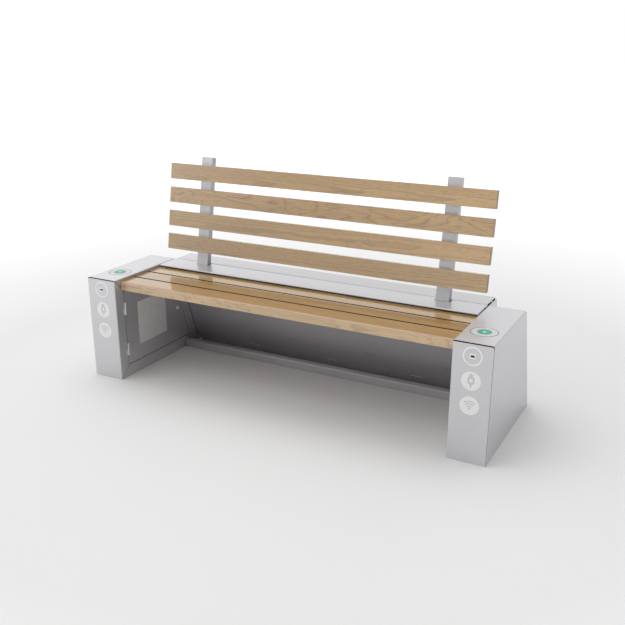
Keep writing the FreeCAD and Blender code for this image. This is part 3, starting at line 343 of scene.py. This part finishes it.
def oak(node, seed, tone=(1, 1, 1), figure=0.45, wander=0.22):
    """Lacquered oak along X: rings cut by the board, wavy lines on some faces, pores, end grain."""
    m = Material(f"oak_{node}", (0.45, 0.29, 0.15), roughness=0.42, coat_roughness=0.05)
    m.set("Coat IOR", 1.75)
    seat = node.startswith("seat")
    normal = m.normal()
    on_end = m.spread(m.math("ABSOLUTE", normal["X"]), 0.6, 0.8)
    late_wood = ring_lines(m, node, seed, wander)
    slide = (0.37 * seed, 0.0, 0.0)
    fibre = m.noise(m.place(slide, scale=(3, 150, 150)), scale=3, detail=4, roughness=0.65)
    pores = m.noise(m.place(slide, scale=(16, 420, 420)), scale=2, detail=2)
    flecks = m.noise(m.place(slide, scale=(16, 80, 80)), scale=2, detail=5, roughness=0.72)
    clouds = m.noise(m.place(slide, scale=(0.8, 5, 5)), scale=2.2, detail=3)
    cloudy = m.spread(clouds, 0.3, 0.7)

    pale, mid, dark = [tuple(a * b for a, b in zip(wood, tone)) for wood in OAK_TONES]
    base = m.mix(cloudy, mid, pale)
    ringed = m.mix(m.math("MULTIPLY", late_wood, figure), base, dark)
    streaked = m.mix(m.spread(fibre, 0.42, 0.75, 0.0, 0.35), ringed, mid)
    flecked = m.mix(m.spread(flecks, 0.48, 0.66, 0.0, 0.42), streaked, dark)
    face = m.mix(m.spread(pores, 0.58, 0.70, 0.0, 0.45), flecked, dark)
    coat = m.math("SUBTRACT", 1.0, on_end)
    if seat:
        # Painted light and shade: the top faces take a tone of their own.
        on_top = m.spread(normal["Z"], 0.5, 0.85)
        face = m.mix(on_top, face, m.mix(1.0, face, SEAT_TOP_SHADING[seed], "MULTIPLY"))
        # Painted shade: faces that look into the gaps between boards are darkened and lose their
        # coat.
        hidden = normal["Y"] if node == "seat_slat_1" else m.math("ABSOLUTE", normal["Y"])
        # The front face of slat 1 gets a tone of its own: its figure lines are grain, its paler
        # tone partly painted light.
        if node == "seat_slat_1":
            lines = figure_lines(m, slide, (0.6, 1, 2.4), levels=7.0, width=0.16, strength=0.55)
            plain = m.mix(cloudy, scaled(pale, 1.07), mid)
            nose = m.mix(lines, plain, (dark[0], dark[1], dark[2] * 1.35))
            face = m.mix(m.spread(normal["Y"], -0.95, -0.70, 1.0, 0.0), face, nose)
        gap_shade = m.spread(hidden, 0.25, 0.60)
        face = m.mix(gap_shade, face, m.mix(1.0, face, GAP_SHADE_TONE, "MULTIPLY"))
        coat = m.math("MULTIPLY", coat, m.math("SUBTRACT", 1.0, gap_shade))
    else:
        if node == "back_slat_2":
            lines = figure_lines(m, slide, (0.40, 1, 1.9), levels=9.0, width=0.14, strength=0.80)
            face = m.mix(lines, face, dark)
        # Painted light: the back boards grow lighter towards their right ends.
        lit_right_end = m.mix(m.spread(m.position()["X"], LIT_RAMP_FROM, LIT_RAMP_TO), BACK_SHADED, BACK_LIT)
        face = m.mix(1.0, face, lit_right_end, "MULTIPLY")
    end = m.mix(m.math("MULTIPLY", late_wood, 0.6), *END_TONES)
    m.colour(m.mix(on_end, face, end))
    m.link(coat, m.shader, "Coat Weight")
    m.rough(fibre, 0.36, 0.50)
    m.bump(m.math("ADD", m.math("MULTIPLY", pores, 0.6), fibre), strength=0.10, distance=0.0004)
    if not seat:
        # The clear coat follows the pores a little, so its glare breaks up
        rise = m.math("ADD", flecks, m.math("MULTIPLY", pores, 0.5))
        m.bump(rise, strength=0.45, distance=0.0012, socket="Coat Normal")
    return m.material


def figure_lines(m, slide, stretch, levels, width, strength):
    """Thin wavy lines of a flat-sawn face, where a broad noise crosses a number of levels."""
    broad = m.noise(m.place(slide, scale=stretch), scale=7.5, detail=2, roughness=0.4,
                    distortion=0.7)
    part = m.math("FRACT", m.math("MULTIPLY", broad, levels))
    off_line = m.math("ABSOLUTE", m.math("SUBTRACT", part, 0.5))
    return m.spread(off_line, 0.0, width, strength, 0.0)


def rubber(name, tone=0.018):
    m = Material(name, (tone, tone, tone), roughness=0.75)
    grain = m.noise(m.place(), scale=900, detail=2)
    m.tint(grain, (tone * 0.7,) * 3, (tone * 1.6,) * 3)
    m.rough(grain, 0.65, 0.85)
    m.bump(grain, strength=0.2, distance=0.0002)
    return m.material


def seam_rubber(name):
    """The same rubber near-black where it lies under the top, painted shade, and grey down the
    outer side.
    """
    m = Material(name, (0.02, 0.02, 0.02), roughness=0.75)
    grain = m.noise(m.place(), scale=900, detail=2)
    side_grey = m.mix(grain, (0.30, 0.30, 0.31), (0.36, 0.36, 0.37))
    # Painted shade: near-black where the seam runs under the top.
    shade_under_top = m.spread(m.position()["Z"], SEAM_LEVEL - SEAM_FADE, SEAM_LEVEL)
    m.colour(m.mix(shade_under_top, side_grey, (0.015, 0.015, 0.015)))
    m.rough(grain, 0.65, 0.85)
    m.bump(grain, strength=0.2, distance=0.0002)
    return m.material


def steel(name, tone=(0.62, 0.62, 0.63), roughness=0.32):
    m = Material(name, tone, metallic=1.0, roughness=roughness)
    brush = m.noise(m.place(scale=(1, 1, 30)), scale=240, detail=3)
    m.tint(brush, scaled(tone, 0.86), scaled(tone, 1.1))
    m.rough(brush, roughness - 0.07, roughness + 0.1)
    m.bump(brush, strength=0.05, distance=0.0002)
    return m.material


def moulded(name, tone, roughness=0.5, coat=0.0):
    """Moulded plastic with a fine even texture."""
    m = Material(name, tone, roughness=roughness, coat_weight=coat, coat_roughness=0.2)
    grain = m.noise(m.place(), scale=1500, detail=2)
    broad = m.noise(m.place(), scale=9, detail=2)
    m.tint(broad, scaled(tone, 0.96), scaled(tone, 1.03))
    m.rough(grain, roughness - 0.06, roughness + 0.08)
    m.bump(grain, strength=0.08, distance=0.0002)
    return m.material


def window_plate(name):
    """Pale radio-clear plate with a faintly mottled face."""
    m = Material(name, (0.72, 0.73, 0.71), roughness=0.5, coat_weight=0.15, coat_roughness=0.3)
    mottle = m.noise(m.place(), scale=42, detail=5, roughness=0.65)
    specks = m.noise(m.place(), scale=420, detail=2)
    base = m.mix(m.spread(mottle, 0.35, 0.65), (0.78, 0.79, 0.78), (0.84, 0.85, 0.835))
    m.colour(m.mix(m.spread(specks, 0.62, 0.70, 0.0, 0.2), base, (0.50, 0.51, 0.49)))
    m.rough(mottle, 0.42, 0.6)
    m.bump(specks, strength=0.12, distance=0.0004)
    return m.material


def galvanised(name):
    """Zinc coat with pale and dark spangles."""
    m = Material(name, (0.42, 0.43, 0.45), metallic=0.6, roughness=0.5)
    cells = m.node("ShaderNodeTexVoronoi", feature="F1")
    m.link(m.place(), cells, "Vector")
    cells.inputs["Scale"].default_value = 90
    split = m.node("ShaderNodeSeparateColor")
    m.link(cells.outputs["Color"], split, 0)
    m.tint(split.outputs[0], (0.34, 0.35, 0.37), (0.48, 0.49, 0.51))
    m.rough(split.outputs[1], 0.42, 0.6)
    m.bump(m.noise(m.place(), scale=300), strength=0.08, distance=0.0003)
    return m.material


CELL_COLUMNS, CELL_ROWS = 14, 4
CELL_HALF_GAP = 0.0018
BARS_PER_CELL, FINGERS_PER_CELL = 5.0, 36.0


def solar_glass(name):
    """Dark cells in rows, with pale gaps and thin silver bars, under clear glass."""
    m = Material(name, (0.01, 0.012, 0.03), roughness=0.28, coat_weight=1.0, coat_roughness=0.03)
    low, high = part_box(name)
    where = m.position((0, 0, -low.z))
    cell_width = (high.x - low.x) / CELL_COLUMNS
    across = m.math("DIVIDE", m.math("ADD", where["X"], high.x), cell_width)
    up = m.math("DIVIDE", where["Z"], (high.z - low.z) / CELL_ROWS)

    def near_edge(value, half_gap):
        part = m.math("FRACT", value)
        from_edge = m.math("MINIMUM", part, m.math("SUBTRACT", 1.0, part))
        return m.math("LESS_THAN", from_edge, half_gap)

    share = CELL_HALF_GAP / cell_width
    gap = m.math("MAXIMUM", near_edge(across, share), near_edge(up, share))
    bars = near_edge(m.math("MULTIPLY", across, BARS_PER_CELL), 0.03)
    fingers = near_edge(m.math("MULTIPLY", up, FINGERS_PER_CELL), 0.06)
    blotch = m.noise(m.place(), scale=14, detail=2)
    cell = m.mix(blotch, (0.006, 0.008, 0.022), (0.013, 0.017, 0.042))
    fingered = m.mix(m.math("MULTIPLY", fingers, 0.35), cell, (0.09, 0.10, 0.13))
    barred = m.mix(m.math("MULTIPLY", bars, 0.8), fingered, (0.42, 0.43, 0.45))
    m.colour(m.mix(gap, barred, (0.55, 0.56, 0.58)))
    m.rough(blotch, 0.24, 0.34)
    return m.material


def printed(name, tone):
    """Screen-printed ink: slightly uneven cover on the coat under it."""
    m = Material(name, tone, roughness=0.45, coat_weight=0.1, coat_roughness=0.25)
    grain = m.noise(m.place(), scale=1100, detail=3)
    m.tint(m.spread(grain, 0.3, 0.7), scaled(tone, 0.94), scaled(tone, 1.03))
    m.rough(grain, 0.38, 0.5)
    m.bump(grain, strength=0.05, distance=0.0001)
    return m.material


PAINT = (0.655, 0.65, 0.675)


def dress_nodes():
    """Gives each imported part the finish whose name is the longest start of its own."""
    by_start = {
        "shelf": silver_coat("silver_coat_smooth", PAINT, 0.34, 0.5),
        "box_lid": silver_coat("silver_coat_lid", scaled(PAINT, 0.94), 0.34, 0.5),
        # The leaning panel and the rail under the seat take darker copies of the same paint:
        # painted shade.
        "box_panel": silver_coat("silver_coat_panel_shaded", scaled(PAINT, 0.87)),
        "base_rail": silver_coat("silver_coat_rail_shaded", scaled(PAINT, 0.82)),
        # The posts' sides take a darker tone: painted shade.
        "back_post": silver_coat("silver_coat_post", scaled(PAINT, 0.84), side_shade=0.74),
        "pod_seal": seam_rubber("seam_rubber"),
        "cable_run": rubber("black_rubber"),
        "door_window": window_plate("window_plate"),
        "window_screws": moulded("screw_cap", (0.73, 0.73, 0.72)),
        # Lock plugs and rivets are a pale non-metallic white so that they show as bright dots:
        # painted highlight.
        "lock_plug": moulded("lock_cap", (0.86, 0.86, 0.85), 0.35, 0.3),
        "frame_bolts": steel("dark_bolts", (0.52, 0.52, 0.53), 0.42),
        "pod_rivets": moulded("rivet_cap", (0.80, 0.80, 0.79), 0.4, 0.2),
        "pod_base": galvanised("zinc_coat"),
        "seat_bearer": galvanised("zinc_bearer"),
        "box_ribs": galvanised("zinc_ribs"),
        "charging_pad": moulded("pad_cover", (0.60, 0.60, 0.62), 0.42, 0.2),
        "charging_coil": moulded("coil_case", (0.05, 0.05, 0.055)),
        "usb_module": moulded("port_case", (0.03, 0.03, 0.033), 0.4),
        "battery_pack": moulded("battery_case", (0.07, 0.07, 0.08)),
        "charge_controller": moulded("controller_case", (0.09, 0.10, 0.12)),
        "modem": moulded("modem_case", (0.62, 0.62, 0.60)),
        "solar_junction": moulded("junction_case", (0.03, 0.03, 0.03)),
        "solar_frame": steel("anodised_frame", (0.72, 0.72, 0.74), 0.38),
        "solar_laminate": solar_glass("solar_laminate"),
    }
    shared = (
        (silver_coat("silver_coat", PAINT),
         ("pod_wrap", "pod_front", "pod_back", "service_door", "box_cheek")),
        (steel("pale_zinc", (0.84, 0.84, 0.83), 0.45),
         ("lock_", "door_hinges", "frame_hinges", "rail_anchors")),
        (steel("stainless"), ("seat_screws", "back_screws")),
    )
    for material, starts in shared:
        by_start.update(dict.fromkeys(starts, material))
    for number in range(1, 4):
        name = f"seat_slat_{number}"
        by_start[name] = oak(name, number)
    for number, (figure, wander) in enumerate(BACK_FIGURES, 1):
        name = f"back_slat_{number}"
        tone = LOWEST_BACK_SHADED_TONE if number == len(BACK_FIGURES) else BACK_TONE
        by_start[name] = oak(name, number + 3, tone, figure, wander)
    for name, obj in nodes.items():
        matches = [start for start in by_start if name.startswith(start)]
        obj.data.materials.clear()
        obj.data.materials.append(by_start[max(matches, key=len)])


# Signs and trim: how each piece is made
def new_piece(name, shape, material, body="frame"):
    mesh = bpy.data.meshes.new(name)
    bmesh.ops.recalc_face_normals(shape, faces=shape.faces)
    shape.to_mesh(mesh)
    shape.free()
    obj = bpy.data.objects.new(name, mesh)
    bpy.context.scene.collection.objects.link(obj)
    mesh.materials.append(material)
    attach(obj, body)


def add_plate(shape, outline, holes, place, thick):
    """A thin plate from a flat outline with holes, put in place by a function of (u, v, depth)."""
    flat = bmesh.new()
    edges = []
    for ring in (outline, *holes):
        verts = [flat.verts.new((u, v, 0)) for u, v in ring]
        pairs = zip(verts, verts[1:] + verts[:1])
        edges += [flat.edges.new(pair) for pair in pairs]
    bmesh.ops.triangle_fill(flat, edges=edges, use_dissolve=False, use_beauty=True)
    flat.verts.index_update()
    front = [shape.verts.new(place(v.co.x, v.co.y, thick)) for v in flat.verts]
    back = [shape.verts.new(place(v.co.x, v.co.y, 0)) for v in flat.verts]
    for face in flat.faces:
        shape.faces.new([front[v.index] for v in face.verts])
        shape.faces.new([back[v.index] for v in reversed(face.verts)])
    for edge in flat.edges:
        if len(edge.link_faces) == 1:
            a, b = edge.verts[0].index, edge.verts[1].index
            shape.faces.new((front[a], front[b], back[b], back[a]))
    flat.free()


def plate_piece(name, outline, holes, place, thick, material):
    """One thin plate as a piece of its own."""
    shape = bmesh.new()
    add_plate(shape, outline, holes, place, thick)
    new_piece(name, shape, material)


def add_turned(shape, profile, place, count=32):
    """Turns a closed profile of (radius, depth) round an axis, put in place as a plate is."""
    rings = []
    for number in range(count):
        turn = 2 * math.pi * number / count
        rings.append([shape.verts.new(place(r * math.cos(turn), r * math.sin(turn), depth))
                      for r, depth in profile])
    for number, ring in enumerate(rings):
        following = rings[(number + 1) % count]
        for i in range(len(profile)):
            j = (i + 1) % len(profile)
            shape.faces.new((ring[i], following[i], following[j], ring[j]))
    bmesh.ops.remove_doubles(shape, verts=shape.verts, dist=1e-6)
    bmesh.ops.dissolve_degenerate(shape, dist=1e-6, edges=shape.edges)


def dome(radius, height, steps=6):
    """Profile of a low round head, from its flat side on the axis to its crown."""
    angles = [math.radians(90 * i / steps) for i in range(steps)]
    rounding = [(radius * math.cos(a), height * math.sin(a)) for a in angles]
    return [(0.0, 0.0), *rounding, (0.0, height)]


def collar(inner_radius, outer_radius, height, steps=8):
    """Profile of a half-round ring."""
    middle, reach = (inner_radius + outer_radius) / 2, (outer_radius - inner_radius) / 2
    angles = [math.pi * i / steps for i in range(steps + 1)]
    return [(middle + reach * math.cos(a), height * math.sin(a)) for a in angles]


def circle(radius, at=(0, 0), count=64):
    steps = [2 * math.pi * i / count for i in range(count)]
    return [(at[0] + radius * math.cos(a), at[1] + radius * math.sin(a)) for a in steps]


def arc_band(radius, width, start, end, at=(0, 0), count=24):
    """A band along an arc between two angles in degrees."""
    angles = [math.radians(start + (end - start) * i / count) for i in range(count + 1)]
    far, near = radius + width / 2, radius - width / 2
    outer = [(at[0] + far * math.cos(a), at[1] + far * math.sin(a)) for a in angles]
    inner = [(at[0] + near * math.cos(a), at[1] + near * math.sin(a)) for a in reversed(angles)]
    return outer + inner


def rounded(width, height, radius, at=(0, 0), count=6):
    """A rectangle with round corners."""
    points = []
    for cx, cy, start in ((1, 1, 0), (-1, 1, 90), (-1, -1, 180), (1, -1, 270)):
        corner = (at[0] + cx * (width / 2 - radius), at[1] + cy * (height / 2 - radius))
        for i in range(count + 1):
            a = math.radians(start + 90 * i / count)
            points.append((corner[0] + radius * math.cos(a), corner[1] + radius * math.sin(a)))
    return points


def bar(left, right, height):
    """A plain rectangle that stands on v = 0."""
    return [(left, 0.0), (right, 0.0), (right, height), (left, height)]


def on_front(x, z, lift=0.0):
    """Places (u, v, depth) on an end box's front sheet round a centre."""
    return lambda u, v, depth: (x + u, FRONT_Y - lift - depth, z + v)


def on_top(x, y, z):
    """Places (u, v, depth) on a level face round a centre, depth upwards."""
    return lambda u, v, depth: (x + u, y + v, z + depth)


def on_inner(side, y, z, lift=0.0):
    """Places (u, v, depth) on the inner face of an end box, depth away from the box."""
    return lambda u, v, depth: (side * (INNER_X - lift - depth), y + u, z + v)


# An end box leans at its back: depth at the ground, lean over its height, height
BOX_FOOT, BOX_LEAN, BOX_HEIGHT = 0.5935, 0.163, 0.460


def box_back(level):
    """How far behind the front plane the leaning back of an end box is, at a height."""
    return BOX_FOOT - BOX_LEAN * level / BOX_HEIGHT


# Signs
SIGN_RADIUS, PORT_RING_WIDTH = 0.0357, 0.0058
PLUG_LEVEL, SIGNAL_LEVEL = 0.319, 0.225
INK = 0.0003
PAD_MARK_RADIUS, PAD_RIM_RADIUS = 0.0244, 0.0258
PAD_GROOVE_RADII, PAD_EDGE_SHADOW_RADII = (0.04885, 0.04995), (0.0475, 0.0487)
PAD_GROOVE_DEPTH, PAD_GROOVE_FILL = 0.0026, 0.0020
BOLT_SIGN = [(0.0035, 0.0150), (-0.0085, -0.0020), (-0.0010, -0.0020), (-0.0035, -0.0150),
             (0.0085, 0.0030), (0.0010, 0.0030)]


def signs():
    """Ring round the port, and two round signs under it, on both end boxes."""
    white = printed("sign_white", (0.89, 0.89, 0.88))
    grey = printed("sign_grey", (0.58, 0.58, 0.60))
    for name, side in SIDES:
        x = POD_X * side
        plate_piece(f"port_ring_{name}", circle(SIGN_RADIUS),
                    [circle(SIGN_RADIUS - PORT_RING_WIDTH)], on_front(x, PORT_Z), INK, white)
        for label, level, mark in (("plug", PLUG_LEVEL, plug_mark()),
                                   ("signal", SIGNAL_LEVEL, signal_mark())):
            plate_piece(f"sign_{label}_{name}", circle(SIGN_RADIUS), [], on_front(x, level),
                        INK, white)
            drawn = bmesh.new()
            for outline, holes in mark:
                add_plate(drawn, outline, holes, on_front(x, level, INK), INK)
            new_piece(f"sign_{label}_mark_{name}", drawn, grey)


def plug_mark():
    """A plain plug: a tip with two contacts, a body with a window, and a stub of cable."""
    tip = rounded(0.0147, 0.0104, 0.0010, (0, 0.0207))
    contacts = [rounded(0.0031, 0.0030, 0.0005, (side * 0.0034, 0.0213)) for side in (-1, 1)]
    body = rounded(0.0231, 0.0247, 0.0034, (0, 0.0017))
    window = rounded(0.0126, 0.0155, 0.0020, (0, 0.0017))
    neck = rounded(0.0105, 0.0048, 0.0013, (0, -0.0144))
    cord = rounded(0.0045, 0.0081, 0.0019, (0, -0.0218))
    return [(tip, contacts), (body, [window]), (neck, []), (cord, [])]


def signal_mark():
    """Three arcs over a dot."""
    at, band = (0, -0.0125), 0.0034
    arcs = [(arc_band(radius, band, 46, 134, at), []) for radius in (0.0105, 0.0200, 0.0295)]
    return [*arcs, (circle(0.0031, (0, -0.0115), 24), [])]


def pad_marks():
    """Green disc with a pale bolt on each pad, a thin rubber ring in the pad's groove, and a dark
    ring printed on the pad's rim that is painted shadow.
    """
    green = printed("mark_green", (0.025, 0.40, 0.27))
    deep = printed("mark_deep_green", (0.015, 0.06, 0.05))
    pale = printed("mark_pale", (0.62, 0.78, 0.70))
    black = rubber("groove_rubber")
    line = printed("pad_edge_shadow_ink", (0.20, 0.20, 0.21))
    groove_near, groove_far = [circle(radius, count=128) for radius in PAD_GROOVE_RADII]
    edge_near, edge_far = [circle(radius, count=128) for radius in PAD_EDGE_SHADOW_RADII]
    for name, side in SIDES:
        x = POD_X * side
        at = on_top(x, PAD_Y, PAD_TOP)
        in_groove = on_top(x, PAD_Y, PAD_TOP - PAD_GROOVE_DEPTH)
        disc = circle(PAD_MARK_RADIUS)
        plate_piece(f"pad_mark_rim_{name}", circle(PAD_RIM_RADIUS), [disc], at, INK, deep)
        plate_piece(f"pad_mark_{name}", disc, [BOLT_SIGN], at, INK, green)
        plate_piece(f"pad_mark_bolt_{name}", BOLT_SIGN, [], at, INK * 0.8, pale)
        plate_piece(f"pad_groove_{name}", groove_far, [groove_near], in_groove,
                    PAD_GROOVE_FILL, black)
        # Painted shadow: a dark grey ring along the pad's rim.
        plate_piece(f"pad_edge_{name}", edge_far, [edge_near], at, INK, line)


# Trim: levels are above the ground, depths are behind the face that a piece lies on
FRAME_LOW, FRAME_HIGH = 0.0535, 0.4000
MITRE_DEPTH, MITRE_THICK = 0.0005, 0.0015
DOOR_FRONT = 0.060
GASKET_DEPTH, GASKET_THICK = 0.00345, 0.0004
LIP_DEPTH, LIP_THICK = 0.0031, 0.0026
BEAD_LOW, BEAD_HIGH = 0.028, 0.395
BEAD_NEAR, BEAD_FAR, BEAD_THICK = 0.0002, 0.0022, 0.0010
RIVET_LEVELS, RIVET_INSET = (0.083, 0.155), 0.011
ANCHOR_HEAD = 0.009
VENT_PITCH, VENT_SILL = 0.415, 0.0335
VENT_HALF, VENT_LIP_HIGH, VENT_LIP_THICK = 0.0265, 0.0019, 0.0016
SHELF_LIP, SHELF_BEAD_HIGH = 0.0095, 0.0042
STAND_OFF = 0.0002


def mitre_strips():
    """Rubber in the mitre gaps between the front sheet's return and the frame round the door."""
    black = rubber("mitre_rubber", 0.014)
    outer_near, outer_far = 0.0034, 0.0058
    inner_near, inner_far = 0.0537, 0.0563
    low_strip = [(outer_near, 0), (outer_far, 0), (inner_far, FRAME_LOW), (inner_near, FRAME_LOW)]
    high_strip = [(outer_near, 0.4555), (outer_far, 0.4568), (inner_far, FRAME_HIGH),
                  (inner_near, FRAME_HIGH)]
    for name, side in SIDES:
        strips = bmesh.new()
        for outline in (low_strip, high_strip):
            # These strips lie inside the sheet, so their thickness runs into the box
            add_plate(strips, outline, [],
                      lambda u, v, depth: (side * (INNER_X + MITRE_DEPTH + depth), FRONT_Y + u, v),
                      MITRE_THICK)
        new_piece(f"mitre_strips_{name}", strips, black)


def bright_caps():
    """Near-white heads on the rivets, the rail anchors and the collar of each lock, standing for
    the glint of bright metal: painted highlight.
    """
    # Painted highlight: near-white with a clear coat, so the heads show as bright dots in the
    # shade.
    glint_white = moulded("glint_cap", (0.97, 0.97, 0.96), 0.22, 0.9)
    rivets = bmesh.new()
    for _, side in SIDES:
        for level in RIVET_LEVELS:
            back = FRONT_Y + box_back(level) - RIVET_INSET
            add_turned(rivets, dome(0.0036, 0.0014), on_inner(side, back, level, 0.001))
    new_piece("rivet_caps", rivets, glint_white)
    low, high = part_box("rail_anchors")
    anchors = bmesh.new()
    for _, side in SIDES:
        place = on_top(side * (high.x - ANCHOR_HEAD), (low.y + high.y) / 2, high.z)
        add_turned(anchors, dome(ANCHOR_HEAD * 0.85, 0.0055), place)
    new_piece("anchor_caps", anchors, glint_white)
    for name, side in SIDES:
        low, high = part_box(f"lock_plug_{name}")
        ring = bmesh.new()
        place = on_inner(side, (low.y + high.y) / 2, (low.z + high.z) / 2, 0.002)
        add_turned(ring, collar(0.0046, 0.0079, 0.0016), place)
        new_piece(f"lock_collar_{name}", ring, glint_white, f"lock_{name}")


def door_line(inset, low, high):
    """Bottom, back and top of a line round a door, at an inset from the box's leaning back."""
    return [(DOOR_FRONT, low), (box_back(low) - inset, low), (box_back(high) - inset, high),
            (DOOR_FRONT, high)]


def door_gaskets():
    """Rubber behind the gap round each service door, and a lip in the gap at bottom and back."""
    black = rubber("gasket_rubber", 0.012)
    flat = door_line(0.0495, 0.0495, 0.404) + door_line(0.0605, 0.0605, 0.393)[::-1]
    near, far = door_line(0.0537, 0.0537, 0.3998)[:3], door_line(0.0553, 0.0553, 0.3998)[:3]
    for name, side in SIDES:
        band = bmesh.new()
        add_plate(band, flat, [], on_inner(side, FRONT_Y, 0, -GASKET_DEPTH), GASKET_THICK)
        add_plate(band, near + far[::-1], [], on_inner(side, FRONT_Y, 0, -LIP_DEPTH), LIP_THICK)
        new_piece(f"door_gasket_{name}", band, black)


def panel_beads():
    """Sealing bead in each corner between an end box and the leaning panel."""
    black = rubber("bead_black", 0.035)
    low_back, high_back = box_back(BEAD_LOW), box_back(BEAD_HIGH)
    line = [(low_back - BEAD_FAR, BEAD_LOW), (low_back - BEAD_NEAR, BEAD_LOW),
            (high_back - BEAD_NEAR, BEAD_HIGH), (high_back - BEAD_FAR, BEAD_HIGH)]
    for name, side in SIDES:
        plate_piece(f"panel_bead_{name}", line, [], on_inner(side, FRONT_Y, 0, STAND_OFF),
                    BEAD_THICK, black)


def vent_lips():
    """Near-white lower lip of each vent low in the leaning panel, so it shows as a light dash:
    painted highlight.
    """
    lip_glint_white = moulded("vent_lip", (0.98, 0.98, 0.97), 0.3, 0.9)

    def on_panel(u, v, depth):
        level = VENT_SILL + v
        return u, FRONT_Y + box_back(level) - STAND_OFF - depth, level

    for label, middle in (("left", -VENT_PITCH), ("middle", 0.0), ("right", VENT_PITCH)):
        outline = bar(middle - VENT_HALF, middle + VENT_HALF, VENT_LIP_HIGH)
        plate_piece(f"vent_lip_{label}", outline, [], on_panel, VENT_LIP_THICK, lip_glint_white)


def shelf_trim():
    """Rubber bead along the lower edge of the shelf's front lip."""
    low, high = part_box("shelf")
    lip_low = high.z - SHELF_LIP
    plate_piece("shelf_bead", bar(low.x + 0.001, high.x - 0.001, SHELF_BEAD_HIGH), [],
                lambda u, v, depth: (u, low.y + STAND_OFF - depth, lip_low + v), BEAD_THICK,
                rubber("bead_rubber", 0.014))


# Sockets: how deep the tongue and its contacts start behind the front, and how long they are
TONGUE_BACK, TONGUE_LONG = 0.0110, 0.0095
CONTACT_BACK, CONTACT_LONG = 0.0105, 0.0080
CONTACT_PITCH = 0.0022


def port_pieces():
    """Pale bezel round each socket, and the tongue with its contacts inside."""
    white = moulded("port_bezel", (0.90, 0.90, 0.89), 0.35, 0.3)
    dark = moulded("port_tongue", (0.02, 0.02, 0.022), 0.4)
    gold = steel("port_contact", (0.75, 0.60, 0.32), 0.25)
    for name, side in SIDES:
        x = POD_X * side
        plate_piece(f"port_bezel_{name}", rounded(0.0205, 0.0185, 0.0012),
                    [rounded(0.0144, 0.0076, 0.0006)], on_front(x, PORT_Z), 0.0009, white)
        plate_piece(f"port_tongue_{name}", rounded(0.0108, 0.0016, 0.0003, (0, 0.0010)), [],
                    on_front(x, PORT_Z, -TONGUE_BACK), TONGUE_LONG, dark)
        contacts = bmesh.new()
        for number in range(4):
            u = (number - 1.5) * CONTACT_PITCH
            add_plate(contacts, rounded(0.0011, 0.0003, 0.0001, (u, 0.00005)), [],
                      on_front(x, PORT_Z, -CONTACT_BACK), CONTACT_LONG)
        new_piece(f"port_contacts_{name}", contacts, gold)


make_camera()
make_studio()
dress_nodes()
signs()
pad_marks()
mitre_strips()
bright_caps()
door_gaskets()
panel_beads()
vent_lips()
shelf_trim()
port_pieces()
